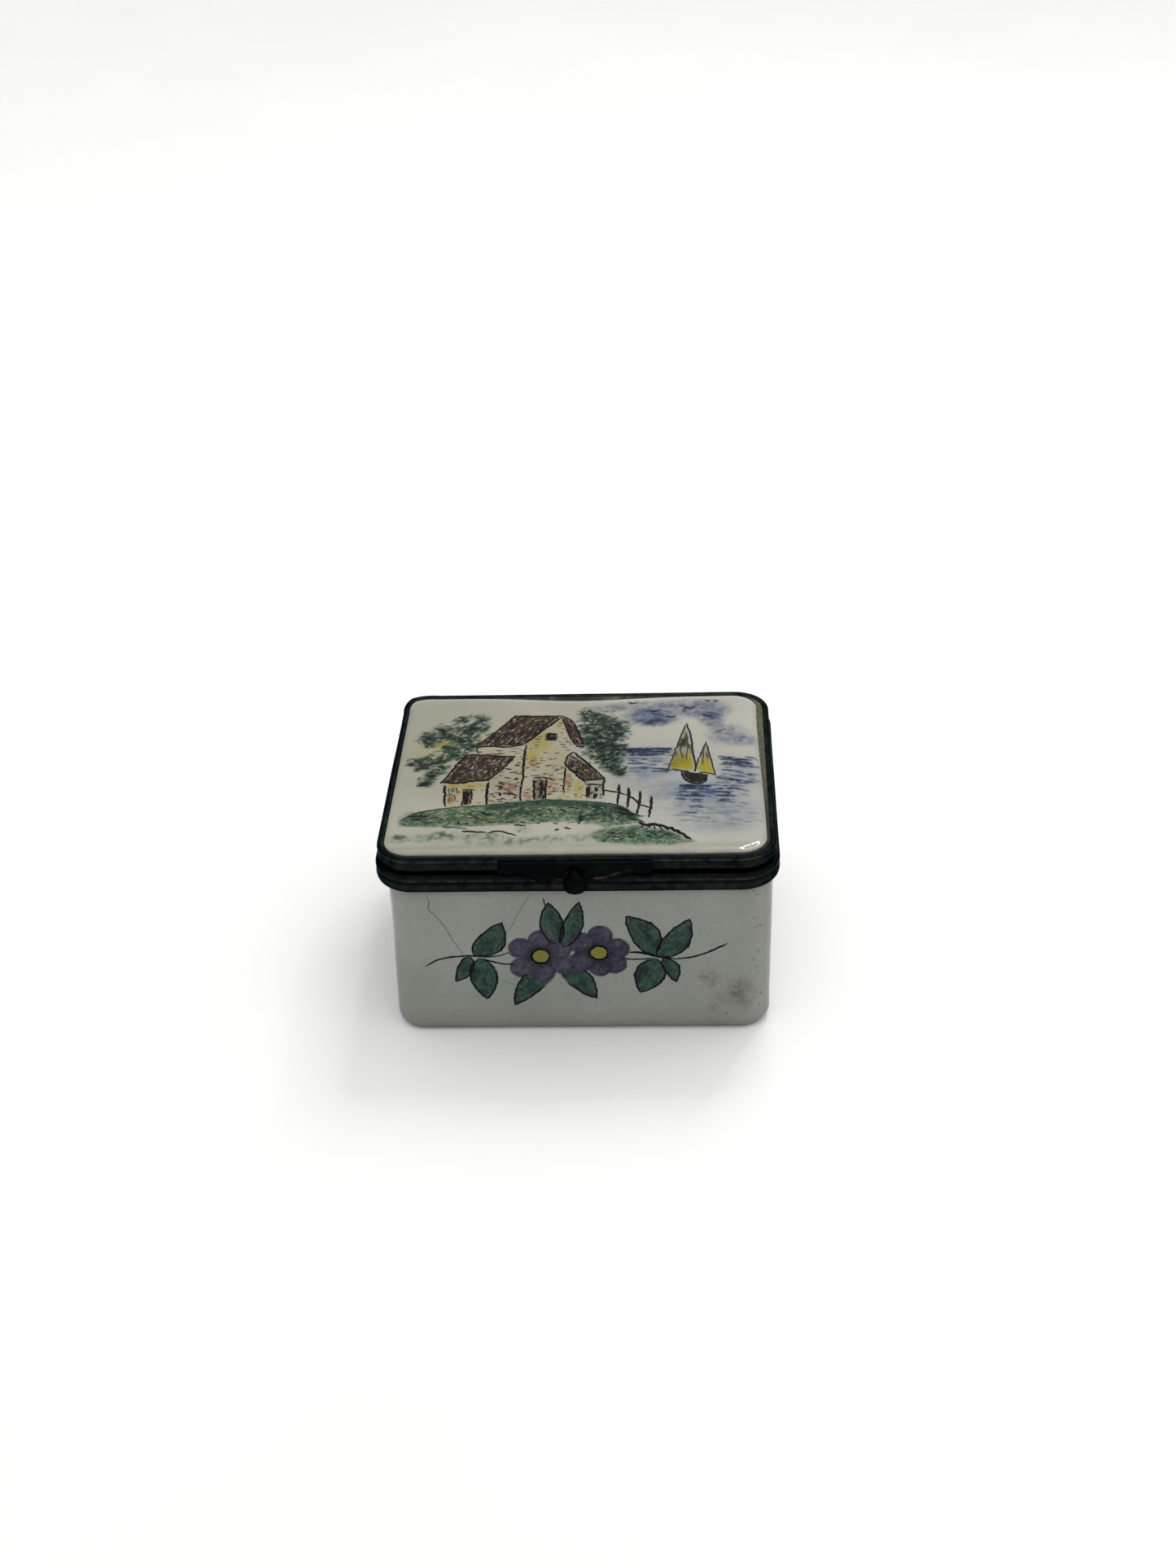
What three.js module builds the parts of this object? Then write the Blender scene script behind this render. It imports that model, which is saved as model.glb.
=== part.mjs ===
// A hinged pill box: a glazed ceramic box and lid panel, each set in a moulded brass rim.
// Millimetres, +Z up. The origin is the middle of the flat underside. The hinge runs along the
// back (+Y) and the thumb lift is in the middle of the front (-Y). The lid is shut.
import * as THREE from "three";

// The two rims. The base rim is the widest piece, and both rims share its outline.
const rimWidth = 56;
const rimDepth = 46.4;
const rimRadius = 5.6; // upright corners of the base rim
const rimBottom = 24.8; // resting plane to the underside of the base rim
const baseRimHeight = 2.75;
const lidRimHeight = 1.95;
const rimGap = 0.45; // between the shut rims
const lidRimInset = 0.42; // the lid rim stands this far inside the base rim, all round
const baseBand = 0.7; // metal thickness of the base rim's outer face
const lidBand = 0.9; // metal thickness of the lid rim's outer face
const ledge = 0.6; // metal thickness of both rims' flat parts
const baseBeadDepth = 0.35; // how far the moulded beads of the base rim stand out
const lidBeadDepth = 0.25;
const beadSplit = 0.56; // share of a rim's height that its lower bead takes

// The ceramic box
const rimOverhang = 0.98; // the base rim stands this far out past the top of the ceramic wall
const wallTaper = 0.3; // each side leans in by this from the rim to the foot
const wallThickness = 3;
const floorThickness = 3.2;
const footRadius = 2.4; // rounding of the bottom edge
const cavityRadius = 2; // rounding between the floor and the walls inside
const innerRadius = 2.4; // smallest upright corner of any ring

// The channel of the base rim and the collar that stands up inside it
const cement = 0.4; // thickness of the cement over and inside the wall
const skirt = 0.5; // metal thickness of the rim's inner face
const skirtHeight = 2.2;
const collarThickness = 0.5;
const collarRise = 1.25; // height of the collar above the base rim
const collarDepth = 2; // how far the collar reaches down inside the rim
const collarClearance = 0.35; // between the collar and the lid rim
const seam = 0.05; // between pieces that are bedded or soldered together

// The lid panel
const panelInset = 1.4; // lid rim's outline to the edge of the panel
const panelEdgeDrop = 0.1; // the panel's edge lies this far under the top of the lid rim
const shoulderWidth = 2.2;
const shoulderRise = 0.45;
const crownRise = 0.35;
const panelRecess = 0.5; // hollow in the underside of the panel
const recessMargin = 0.3; // the panel's border stops this far short of the lid rim's ledge

// The hinge
const hingeLength = 30;
const knuckleCount = 5;
const knuckleGap = 0.15; // end to end
const knuckleRadius = 0.95;
const pinRadius = 0.42;
const pinClearance = 0.08; // all round, inside the knuckles
const pinHeadRadius = 0.75;
const pinHeadLength = 0.35;
const hingeClearance = 0.15; // between the knuckles and the grooves of the bearers
const rimClearance = 0.1; // between the knuckles and the base rim
const axisBelowRim = 0.35; // the hinge axis lies this far under the top of the base rim
const bearerReach = 0.65; // the bearers reach this far behind the axis
const bearerHeight = 1.6; // height of the base bearer below the axis
const bearerEdge = 0.3; // height of the lid bearer's rear edge above its groove

// The thumb plate and its knob
const plateWidth = 21;
const plateThickness = 0.72;
const plateTopDrop = 0.5; // lid rim's top to the top of the plate
const lipDrop = 1.1; // how far the two lips reach down over the base rim
const lipFlare = 0.75; // how far the lips stand out from the plate
const lipThickness = 0.8;
const lipStart = 1.3; // distances of the lips from the middle of the plate
const lipPeak = 3;
const lipEnd = 8;
const knobRadius = 1.55;
const knobDepth = 1; // half of the knob's size, front to back
const knobHeight = 3.5;
const knobBottomRise = 1.1; // base rim's underside to the lowest point of the knob
const frontClearance = 0.25; // between the base rim and what hangs over it

const cornerSteps = 4; // each upright corner is drawn with twice as many flat strips
const roundSteps = 5; // flat strips across each rounded edge
const turnSteps = 24; // flat strips round a turned piece
const plateSteps = 42; // strips along the thumb plate

// Heights that follow from those
const baseRimTop = rimBottom + baseRimHeight;
const lidRimBottom = baseRimTop + rimGap;
const lidRimTop = lidRimBottom + lidRimHeight;
const wallTop = baseRimTop - ledge - cement;
const panelBottom = lidRimBottom + ledge + cement - seam;

// Distances in from the base rim's outline
const wallInside = rimOverhang + wallThickness;
const skirtOutside = wallInside + cement;
const skirtInside = skirtOutside + skirt;
const collarOutside = skirtInside + seam;

// Distance in from the lid rim's outline
const ledgeInside = collarOutside - lidRimInset - collarClearance;

const baseOutline = { width: rimWidth, depth: rimDepth, radius: rimRadius };
const lidOutline = {
  width: rimWidth - 2 * lidRimInset,
  depth: rimDepth - 2 * lidRimInset,
  radius: rimRadius - lidRimInset,
};

const patinatedBrass = { color: "#16211f", roughness: 0.45, metalness: 0.85 };
const wornBrass = { color: "#4a3018", roughness: 0.4, metalness: 0.9 };
const whiteGlaze = { color: "#b9b7ad", roughness: 0.2, metalness: 0 };
const lidGlaze = { color: "#cfccc2", roughness: 0.12, metalness: 0 };
const oldCement = { color: "#5b5a45", roughness: 0.9, metalness: 0 };

function piece(name, geometry, look) {
  const mesh = new THREE.Mesh(geometry, new THREE.MeshStandardMaterial(look));
  mesh.name = name;
  return mesh;
}

// The corner points of a rounded rectangle, counter-clockwise, at a height and a distance inside
// an outline.
function ringPoints(outline, inset, z) {
  const halfWidth = outline.width / 2 - inset;
  const halfDepth = outline.depth / 2 - inset;
  const radius = Math.min(Math.max(outline.radius - inset, innerRadius), 0.9 * halfDepth);
  const shape = new THREE.Shape();
  for (let corner = 0; corner < 4; corner += 1) {
    const sideX = corner === 0 || corner === 3 ? 1 : -1;
    const sideY = corner < 2 ? 1 : -1;
    const start = (corner * Math.PI) / 2;
    const centreX = sideX * (halfWidth - radius);
    const centreY = sideY * (halfDepth - radius);
    shape.absarc(centreX, centreY, radius, start, start + Math.PI / 2, false);
  }
  return shape.getPoints(cornerSteps).map((point) => new THREE.Vector3(point.x, point.y, z));
}

// Joins rings of points into a surface. A section is a list of [inset, height] pairs that runs up
// the outside. A closed section gives a frame; an open one is closed by a middle point at each end.
function sweepSection(outline, section, middles = null) {
  const rings = section.map(([inset, z]) => ringPoints(outline, inset, z));
  const count = rings[0].length;
  const points = rings.flat();
  const faces = [];
  const ringPairs = middles ? rings.length - 1 : rings.length;
  for (let row = 0; row < ringPairs; row += 1) {
    const nextRow = (row + 1) % rings.length;
    for (let step = 0; step < count; step += 1) {
      const nextStep = (step + 1) % count;
      const low = row * count + step;
      const lowNext = row * count + nextStep;
      const high = nextRow * count + step;
      const highNext = nextRow * count + nextStep;
      faces.push(low, lowNext, highNext, low, highNext, high);
    }
  }
  if (middles) {
    const lastRing = (rings.length - 1) * count;
    const lowMiddle = points.push(new THREE.Vector3(0, 0, middles[0])) - 1;
    const highMiddle = points.push(new THREE.Vector3(0, 0, middles[1])) - 1;
    for (let step = 0; step < count; step += 1) {
      const nextStep = (step + 1) % count;
      faces.push(lowMiddle, nextStep, step);
      faces.push(highMiddle, lastRing + step, lastRing + nextStep);
    }
  }
  const geometry = new THREE.BufferGeometry().setFromPoints(points);
  geometry.setIndex(faces);
  geometry.computeVertexNormals();
  return geometry;
}

// A quarter of a round from one [inset, height] to another: it leaves level and arrives upright,
// or the other way about.
function quarterRound([insetA, zA], [insetB, zB], leavesLevel) {
  const points = [];
  for (let step = 0; step <= roundSteps; step += 1) {
    const angle = ((step / roundSteps) * Math.PI) / 2;
    const rising = Math.sin(angle);
    const easing = 1 - Math.cos(angle);
    const along = leavesLevel ? [rising, easing] : [easing, rising];
    points.push([insetA + (insetB - insetA) * along[0], zA + (zB - zA) * along[1]]);
  }
  return points;
}

// Two rounded beads with a groove between them, up the outer face of a rim.
function mouldedFace(bottom, height, beadDepth) {
  const points = [[beadDepth, bottom]];
  const edges = [bottom, bottom + beadSplit * height, bottom + height];
  for (let bead = 0; bead < 2; bead += 1) {
    const middle = (edges[bead] + edges[bead + 1]) / 2;
    const half = (edges[bead + 1] - edges[bead]) / 2;
    for (let step = 1; step <= roundSteps; step += 1) {
      const angle = (step / roundSteps) * Math.PI;
      points.push([beadDepth * (1 - Math.sin(angle)), middle - half * Math.cos(angle)]);
    }
  }
  return points;
}

function makeBox() {
  const footInset = rimOverhang + wallTaper;
  const cavityInset = footInset + wallThickness;
  const section = [
    ...quarterRound([footInset + footRadius, 0], [footInset, footRadius], true),
    [rimOverhang, wallTop],
    [wallInside, wallTop],
    ...quarterRound(
      [cavityInset, floorThickness + cavityRadius],
      [cavityInset + cavityRadius, floorThickness],
      false,
    ),
  ];
  return sweepSection(baseOutline, section, [0, floorThickness]);
}

function makeBaseRim() {
  const section = [
    ...mouldedFace(rimBottom, baseRimHeight, baseBeadDepth),
    [skirtInside, baseRimTop],
    [skirtInside, baseRimTop - skirtHeight],
    [skirtOutside, baseRimTop - skirtHeight],
    [skirtOutside, baseRimTop - ledge],
    [baseBand, baseRimTop - ledge],
    [baseBand, rimBottom],
  ];
  return sweepSection(baseOutline, section);
}

function makeBaseCement() {
  const top = baseRimTop - ledge - seam;
  const innerFoot = baseRimTop - skirtHeight + seam;
  const outerFoot = rimBottom + seam;
  const section = [
    [baseBand + seam, outerFoot],
    [baseBand + seam, top],
    [skirtOutside - seam, top],
    [skirtOutside - seam, innerFoot],
    [wallInside + seam, innerFoot],
    [wallInside + seam, wallTop + seam],
    [rimOverhang - seam, wallTop + seam],
    [rimOverhang - seam, outerFoot],
  ];
  return sweepSection(baseOutline, section);
}

function makeCollar() {
  const collarInside = collarOutside + collarThickness;
  const section = [
    [collarOutside, baseRimTop - collarDepth],
    [collarOutside, baseRimTop + collarRise],
    [collarInside, baseRimTop + collarRise],
    [collarInside, baseRimTop - collarDepth],
  ];
  return sweepSection(baseOutline, section);
}

function makeLidRim() {
  const section = [
    ...mouldedFace(lidRimBottom, lidRimHeight, lidBeadDepth),
    [lidBand, lidRimTop],
    [lidBand, lidRimBottom + ledge],
    [ledgeInside, lidRimBottom + ledge],
    [ledgeInside, lidRimBottom],
  ];
  return sweepSection(lidOutline, section);
}

function makeLidCement() {
  const bottom = lidRimBottom + ledge + seam;
  const top = lidRimTop - seam;
  const bed = panelBottom - seam;
  const section = [
    [lidBand + seam, bottom],
    [lidBand + seam, top],
    [panelInset - seam, top],
    [panelInset - seam, bed],
    [ledgeInside - recessMargin, bed],
    [ledgeInside - recessMargin, bottom],
  ];
  return sweepSection(lidOutline, section);
}

// The crown of the panel, as a height above the top of its shoulder at a share of the way in.
function crownHeight(share) {
  return crownRise * (1 - (1 - share) ** 2);
}

function makeLidPanel() {
  const edgeTop = lidRimTop - panelEdgeDrop;
  const shoulderTop = edgeTop + shoulderRise;
  const recessInset = ledgeInside - recessMargin;
  const crownStart = panelInset + shoulderWidth;
  const crownSpan = lidOutline.depth / 2 - crownStart;
  const crown = [0.25, 0.5, 0.8].map((share) => [
    crownStart + crownSpan * share,
    shoulderTop + crownHeight(share),
  ]);
  const section = [
    [recessInset, panelBottom + panelRecess],
    [recessInset, panelBottom],
    [panelInset, panelBottom],
    ...quarterRound([panelInset, edgeTop], [crownStart, shoulderTop], false),
    ...crown,
  ];
  return sweepSection(lidOutline, section, [panelBottom + panelRecess, shoulderTop + crownRise]);
}

// Turns a flat shape drawn in depth (+Y) and height (+Z) into a bar along X, middle on X = 0.
function barAlongX(shape, length) {
  const bar = new THREE.ExtrudeGeometry(shape, {
    depth: length,
    bevelEnabled: false,
    curveSegments: 8,
  });
  bar.translate(0, 0, -length / 2);
  const turn = new THREE.Matrix4().makeBasis(
    new THREE.Vector3(0, 1, 0),
    new THREE.Vector3(0, 0, 1),
    new THREE.Vector3(1, 0, 0),
  );
  return bar.applyMatrix4(turn);
}

const hingeY = rimDepth / 2 + rimClearance + knuckleRadius;
const hingeZ = baseRimTop - axisBelowRim;
const grooveRadius = knuckleRadius + hingeClearance;
const rearAngle = Math.acos(bearerReach / grooveRadius);

// A strip under the knuckles, soldered to the base rim, with a groove that the knuckles lie in.
function makeBaseBearer() {
  const face = rimDepth / 2 + seam;
  const rear = hingeY + bearerReach;
  const bottom = hingeZ - bearerHeight;
  const frontAngle = Math.acos((face - hingeY) / grooveRadius);
  const shape = new THREE.Shape();
  shape.moveTo(face, bottom);
  shape.lineTo(rear, bottom);
  shape.absarc(hingeY, hingeZ, grooveRadius, -rearAngle, -frontAngle, true);
  return barAlongX(shape, hingeLength);
}

// The same for the lid, over the knuckles. Its rear edge meets the base bearer's when the lid is
// wide open, and stops it.
function makeLidBearer() {
  const face = lidOutline.depth / 2 + seam;
  const rear = hingeY + bearerReach;
  const rearTop = hingeZ + grooveRadius * Math.sin(rearAngle) + bearerEdge;
  const top = lidRimTop - plateTopDrop;
  const frontAngle = Math.PI - Math.asin((lidRimBottom - hingeZ) / grooveRadius);
  const shape = new THREE.Shape();
  shape.moveTo(face, lidRimBottom);
  shape.absarc(hingeY, hingeZ, grooveRadius, frontAngle, rearAngle, true);
  shape.lineTo(rear, rearTop);
  shape.lineTo(face, top);
  return barAlongX(shape, hingeLength);
}

// Turns a profile of [radius, place along X] pairs about the hinge axis.
function turnAboutHinge(profile) {
  const points = profile.map(([radius, along]) => new THREE.Vector2(radius, along));
  const turned = new THREE.LatheGeometry(points, turnSteps);
  turned.rotateZ(-Math.PI / 2);
  return turned.translate(0, hingeY, hingeZ);
}

const knuckleLength = (hingeLength - (knuckleCount - 1) * knuckleGap) / knuckleCount;

function makeKnuckle(index) {
  const start = -hingeLength / 2 + index * (knuckleLength + knuckleGap);
  const end = start + knuckleLength;
  const bore = pinRadius + pinClearance;
  return turnAboutHinge([
    [bore, start],
    [knuckleRadius, start],
    [knuckleRadius, end],
    [bore, end],
    [bore, start],
  ]);
}

function makePin() {
  const shank = hingeLength / 2 + knuckleGap;
  const end = shank + pinHeadLength;
  const faceRadius = pinHeadRadius / 2;
  return turnAboutHinge([
    [0, -end],
    [faceRadius, -end],
    [pinHeadRadius, -shank - pinHeadLength / 2],
    [pinHeadRadius, -shank],
    [pinRadius, -shank],
    [pinRadius, shank],
    [pinHeadRadius, shank],
    [pinHeadRadius, shank + pinHeadLength / 2],
    [faceRadius, end],
    [0, end],
  ]);
}

// Rises smoothly from 0 at one value to 1 at another.
function smoothRise(value, from, to) {
  return THREE.MathUtils.smoothstep(value, from, to);
}

// How fully the lips are formed at a distance from the middle: not at all behind the knob, fully
// at the peak, and gone before the end of the plate.
function lipShare(distance) {
  const inner = smoothRise(distance, lipStart, lipPeak - 0.5);
  const outer = 1 - smoothRise(distance, lipPeak + 1, lipEnd);
  return inner * outer;
}

// The plate's section in depth and height at a place along X, as a loop of corner points.
function plateSection(x) {
  const lips = lipShare(Math.abs(x));
  const back = -lidOutline.depth / 2 - seam;
  const front = back - plateThickness;
  const hangingBack = -rimDepth / 2 - frontClearance;
  const top = lidRimTop - plateTopDrop;
  const bottom = lidRimBottom - seam - lipDrop * lips;
  const crest = bottom + lipThickness;
  const flare = lipFlare * lips;
  return [
    [back, lidRimBottom],
    [back, top],
    [front + 0.15, top],
    [front, top - 0.15],
    [front - 0.15 * flare, crest + 0.35 * lips],
    [front - flare, crest - 0.15],
    [front - 0.9 * flare, bottom + 0.15],
    [front - 0.7 * flare + 0.04, bottom],
    [hangingBack, bottom],
    [hangingBack, lidRimBottom],
  ];
}

function makeThumbPlate() {
  const points = [];
  for (let step = 0; step <= plateSteps; step += 1) {
    const x = plateWidth * (step / plateSteps - 0.5);
    plateSection(x).forEach(([y, z]) => points.push(new THREE.Vector3(x, y, z)));
  }
  const sides = plateSection(0).length;
  const faces = [];
  for (let step = 0; step < plateSteps; step += 1) {
    for (let side = 0; side < sides; side += 1) {
      const nextSide = (side + 1) % sides;
      const near = step * sides + side;
      const nearNext = step * sides + nextSide;
      const far = near + sides;
      const farNext = nearNext + sides;
      faces.push(near, nearNext, farNext, near, farNext, far);
    }
  }
  const outline = plateSection(plateWidth / 2).map(([y, z]) => new THREE.Vector2(y, z));
  const lastStation = plateSteps * sides;
  THREE.ShapeUtils.triangulateShape(outline, []).forEach(([a, b, c]) => {
    faces.push(c, b, a);
    faces.push(lastStation + a, lastStation + b, lastStation + c);
  });
  const geometry = new THREE.BufferGeometry().setFromPoints(points);
  geometry.setIndex(faces);
  geometry.computeVertexNormals();
  return geometry;
}

// A bud: a round body that draws in to a point at the top.
function makeKnob() {
  const profile = new THREE.CubicBezierCurve(
    new THREE.Vector2(0, 0),
    new THREE.Vector2(1.45 * knobRadius, 0),
    new THREE.Vector2(1.3 * knobRadius, 0.62 * knobHeight),
    new THREE.Vector2(0, knobHeight),
  );
  const knob = new THREE.LatheGeometry(profile.getPoints(12), turnSteps);
  knob.rotateX(Math.PI / 2);
  knob.scale(1, knobDepth / knobRadius, 1);
  return knob;
}

const base = new THREE.Group();
base.add(piece("base_box", makeBox(), whiteGlaze));
base.add(piece("base_cement", makeBaseCement(), oldCement));
base.add(piece("base_rim", makeBaseRim(), patinatedBrass));
base.add(piece("base_collar", makeCollar(), patinatedBrass));
base.add(piece("base_hinge_bearer", makeBaseBearer(), patinatedBrass));
base.add(piece("hinge_pin", makePin(), patinatedBrass));

const lid = new THREE.Group();
lid.add(piece("lid_panel", makeLidPanel(), lidGlaze));
lid.add(piece("lid_cement", makeLidCement(), oldCement));
lid.add(piece("lid_rim", makeLidRim(), patinatedBrass));
lid.add(piece("lid_hinge_bearer", makeLidBearer(), patinatedBrass));
lid.add(piece("thumb_plate", makeThumbPlate(), wornBrass));

// The knuckles belong to the base and the lid by turns, from the left.
const knuckleNames = [
  "base_knuckle_left",
  "lid_knuckle_left",
  "base_knuckle_middle",
  "lid_knuckle_right",
  "base_knuckle_right",
];
knuckleNames.forEach((name, index) => {
  const owner = index % 2 === 0 ? base : lid;
  owner.add(piece(name, makeKnuckle(index), patinatedBrass));
});

// The knob is soldered to the front of the plate and hangs clear of the base rim.
const knob = piece("thumb_knob", makeKnob(), patinatedBrass);
const plateFront = -lidOutline.depth / 2 - seam - plateThickness;
knob.position.set(0, plateFront - seam - knobDepth, rimBottom + knobBottomRise);
lid.add(knob);

const pillBox = new THREE.Group();
pillBox.add(base, lid);

export default pillBox;
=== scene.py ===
import math

import bmesh
import bpy
import numpy as np
from mathutils import Matrix, Vector


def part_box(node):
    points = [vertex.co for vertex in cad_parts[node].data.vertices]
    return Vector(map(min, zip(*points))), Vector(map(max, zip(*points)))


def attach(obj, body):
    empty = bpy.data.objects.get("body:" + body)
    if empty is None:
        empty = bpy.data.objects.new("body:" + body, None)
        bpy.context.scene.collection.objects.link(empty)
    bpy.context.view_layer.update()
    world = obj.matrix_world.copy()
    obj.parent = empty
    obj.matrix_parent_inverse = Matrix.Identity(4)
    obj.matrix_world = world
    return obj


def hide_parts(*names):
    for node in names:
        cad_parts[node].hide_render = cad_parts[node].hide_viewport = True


# Looks for a hinged ceramic pill box with painted lid and front. Sizes below are in millimetres.
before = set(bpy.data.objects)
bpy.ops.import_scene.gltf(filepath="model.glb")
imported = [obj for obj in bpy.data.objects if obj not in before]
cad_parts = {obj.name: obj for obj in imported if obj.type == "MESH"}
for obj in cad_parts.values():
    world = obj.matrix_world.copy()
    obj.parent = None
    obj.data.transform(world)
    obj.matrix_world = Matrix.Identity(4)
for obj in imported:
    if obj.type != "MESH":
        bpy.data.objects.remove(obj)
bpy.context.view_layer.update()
mm = 0.001
scene = bpy.context.scene


# corners of a piece's box in the frame, in millimetres
def nodeBox(node):
    low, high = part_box(node)
    return np.array(low) / mm, np.array(high) / mm


baseRimLow, baseRimHigh = nodeBox("base_rim")
lidRimLow, lidRimHigh = nodeBox("lid_rim")
panelLow = nodeBox("lid_panel")[0]
wallTop = nodeBox("base_box")[1][2]

# outlines the rings are set in from, and the smallest upright corner they may have
outlines = {
    "base": {"width": 56.0, "depth": 46.4, "radius": 5.6, "least": 2.4},
    "lid": {"width": 55.16, "depth": 45.56, "radius": 5.18, "least": 2.4},
}


def linearColour(hexCode):
    parts = [int(hexCode[i:i + 2], 16) / 255 for i in (1, 3, 5)]
    return tuple(c / 12.92 if c <= 0.04045 else ((c + 0.055) / 1.055) ** 2.4 for c in parts)


def ease(value, low, high):
    share = np.clip((value - low) / (high - low), 0, 1)
    return share * share * (3 - 2 * share)


# layers of a cloud, turned and shifted so that their grids don't show: share, turn, shift
cloudLayers = [(0.68, (0.8, 0.6), (31.3, 17.7)), (0.32, (1.3, -1.7), (11.9, 43.1))]


def softCells(table, u, v):
    cells = len(table)
    column = np.floor(u).astype(int)
    row = np.floor(v).astype(int)
    across = ease(u - column, 0, 1)
    upward = ease(v - row, 0, 1)
    left = column % cells
    right = (column + 1) % cells
    low = row % cells
    high = (row + 1) % cells
    near = table[left, low] * (1 - across) + table[right, low] * across
    far = table[left, high] * (1 - across) + table[right, high] * across
    return near * (1 - upward) + far * upward


# random patches between 0 and 1, about size across
def cloud(x, y, size, seed):
    table = np.random.default_rng(seed).random((64, 64))
    x = np.asarray(x) / size
    y = np.asarray(y) / size
    return sum(share * softCells(table, a * x + b * y + shiftX, a * y - b * x + shiftY)
               for share, (a, b), (shiftX, shiftY) in cloudLayers)


# patches with soft edges, left clear below low and full above high
def blotches(x, y, size, seed, low=0.35, high=0.65):
    return ease(cloud(x, y, size, seed), low, high)


# points round a rounded rectangle, set in from its outline
def loopPoints(outline, inset, sides, cornerSteps, sharp=False):
    halfX = outline["width"] / 2 - inset
    halfY = outline["depth"] / 2 - inset
    radius = max(outline["radius"] - inset, 0 if sharp else outline["least"])
    radius = min(radius, 0.9 * halfY)
    arcs = []
    for corner in range(4):
        cornerX = (1 if corner in (0, 3) else -1) * (halfX - radius)
        cornerY = (1 if corner < 2 else -1) * (halfY - radius)
        turn = np.linspace(corner, corner + 1, cornerSteps + 1) * math.pi / 2
        arcs.append(np.stack([cornerX + radius * np.cos(turn), cornerY + radius * np.sin(turn)], 1))
    pieces = []
    for corner in range(4):
        pieces.append(arcs[corner])
        start = arcs[corner][-1]
        end = arcs[(corner + 1) % 4][0]
        share = np.arange(1, sides[corner])[:, None] / sides[corner]
        pieces.append(start + (end - start) * share)
    return np.concatenate(pieces)


# four-sided faces between rows of points, each row a ring
def bridge(rows, count, closed):
    faces = []
    for row in range(rows if closed else rows - 1):
        nextRow = (row + 1) % rows
        for step in range(count):
            nextStep = (step + 1) % count
            faces.append((row * count + step, row * count + nextStep,
                          nextRow * count + nextStep, nextRow * count + step))
    return faces


# faces that close the first and the last row
def endFaces(rows, count):
    first = tuple(range(count))
    return [first[::-1], tuple((rows - 1) * count + i for i in first)]


# makes the mesh object from millimetres, with smooth shading that breaks at real edges
def makePiece(name, points, faces, edgeAngle=38, weld=False):
    mesh = bpy.data.meshes.new(name)
    mesh.from_pydata([tuple(p) for p in np.asarray(points) * mm], [], faces)
    work = bmesh.new()
    work.from_mesh(mesh)
    if weld:
        bmesh.ops.remove_doubles(work, verts=work.verts, dist=0.002 * mm)
    bmesh.ops.recalc_face_normals(work, faces=work.faces)
    work.to_mesh(mesh)
    work.free()
    mesh.shade_smooth()
    mesh.set_sharp_from_angle(angle=math.radians(edgeAngle))
    piece = bpy.data.objects.new(name, mesh)
    scene.collection.objects.link(piece)
    return piece


def readPoints(piece):
    flat = np.zeros(len(piece.data.vertices) * 3)
    piece.data.vertices.foreach_get("co", flat)
    return flat.reshape(-1, 3) / mm


def writePoints(piece, points):
    piece.data.vertices.foreach_set("co", (points * mm).ravel())
    piece.data.update()


def paintPoints(piece, name, colours):
    layer = piece.data.color_attributes.new(name, "FLOAT_COLOR", "POINT")
    filled = np.ones((len(colours), 4), np.float32)
    filled[:, :3] = colours
    layer.data.foreach_set("color", filled.ravel())


def setWearAndGlint(piece, amounts):
    layer = piece.data.attributes.new("wearAndGlint", "FLOAT", "POINT")
    layer.data.foreach_set("value", np.clip(amounts, 0, 1).astype(np.float32))


# sweeps a section of (inset, height) pairs round an outline; ends closes it with two middle points
def sweepRing(name, outline, section, sides, cornerSteps, ends=None, edgeAngle=38):
    loops = []
    for inset, z in section:
        flat = loopPoints(outline, inset, sides, cornerSteps)
        loops.append(np.column_stack([flat, np.full(len(flat), z)]))
    count = len(loops[0])
    points = np.concatenate(loops)
    faces = bridge(len(loops), count, ends is None)
    if ends is not None:
        points = np.vstack([points, [0, 0, ends[0]], [0, 0, ends[1]]])
        last = (len(loops) - 1) * count
        for step in range(count):
            nextStep = (step + 1) % count
            faces.append((len(points) - 2, nextStep, step))
            faces.append((len(points) - 1, last + step, last + nextStep))
    return makePiece(name, points, faces, edgeAngle)


# cuts the corners of a closed outline, so that a drawn section gets rounded edges
def roundedLoop(corners, rounds, cut):
    loop = np.asarray(corners, float)
    for _ in range(rounds):
        following = np.roll(loop, -1, axis=0)
        pairs = np.stack([loop * (1 - cut) + following * cut, loop * cut + following * (1 - cut)], 1)
        loop = pairs.reshape(-1, loop.shape[1])
    return loop


def settle(piece, body, material, replaced=()):
    piece.data.materials.clear()
    piece.data.materials.append(material)
    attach(piece, body)
    if replaced:
        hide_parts(*replaced)


def newMaterial(name):
    material = bpy.data.materials.new(name)
    material.use_nodes = True
    tree = material.node_tree
    shader = tree.nodes["Principled BSDF"]
    return material, tree, shader


def addNode(tree, kind, **values):
    node = tree.nodes.new(kind)
    for key, value in values.items():
        setattr(node, key, value)
    return node


def noiseNode(tree, scale, detail=3.0, roughness=0.55, distortion=0.0):
    where = tree.nodes.get("Where") or addNode(tree, "ShaderNodeTexCoord", name="Where")
    noise = addNode(tree, "ShaderNodeTexNoise")
    noise.inputs["Scale"].default_value = scale
    noise.inputs["Detail"].default_value = detail
    noise.inputs["Roughness"].default_value = roughness
    noise.inputs["Distortion"].default_value = distortion
    tree.links.new(where.outputs["Object"], noise.inputs["Vector"])
    return noise.outputs["Fac"]


def rampNode(tree, source, stops):
    ramp = addNode(tree, "ShaderNodeValToRGB")
    while len(ramp.color_ramp.elements) < len(stops):
        ramp.color_ramp.elements.new(0.5)
    for element, (place, colour) in zip(ramp.color_ramp.elements, stops):
        element.position = place
        element.color = (*colour, 1)
    tree.links.new(source, ramp.inputs["Fac"])
    return ramp.outputs["Color"]


def grey(value):
    return (value, value, value)


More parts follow.
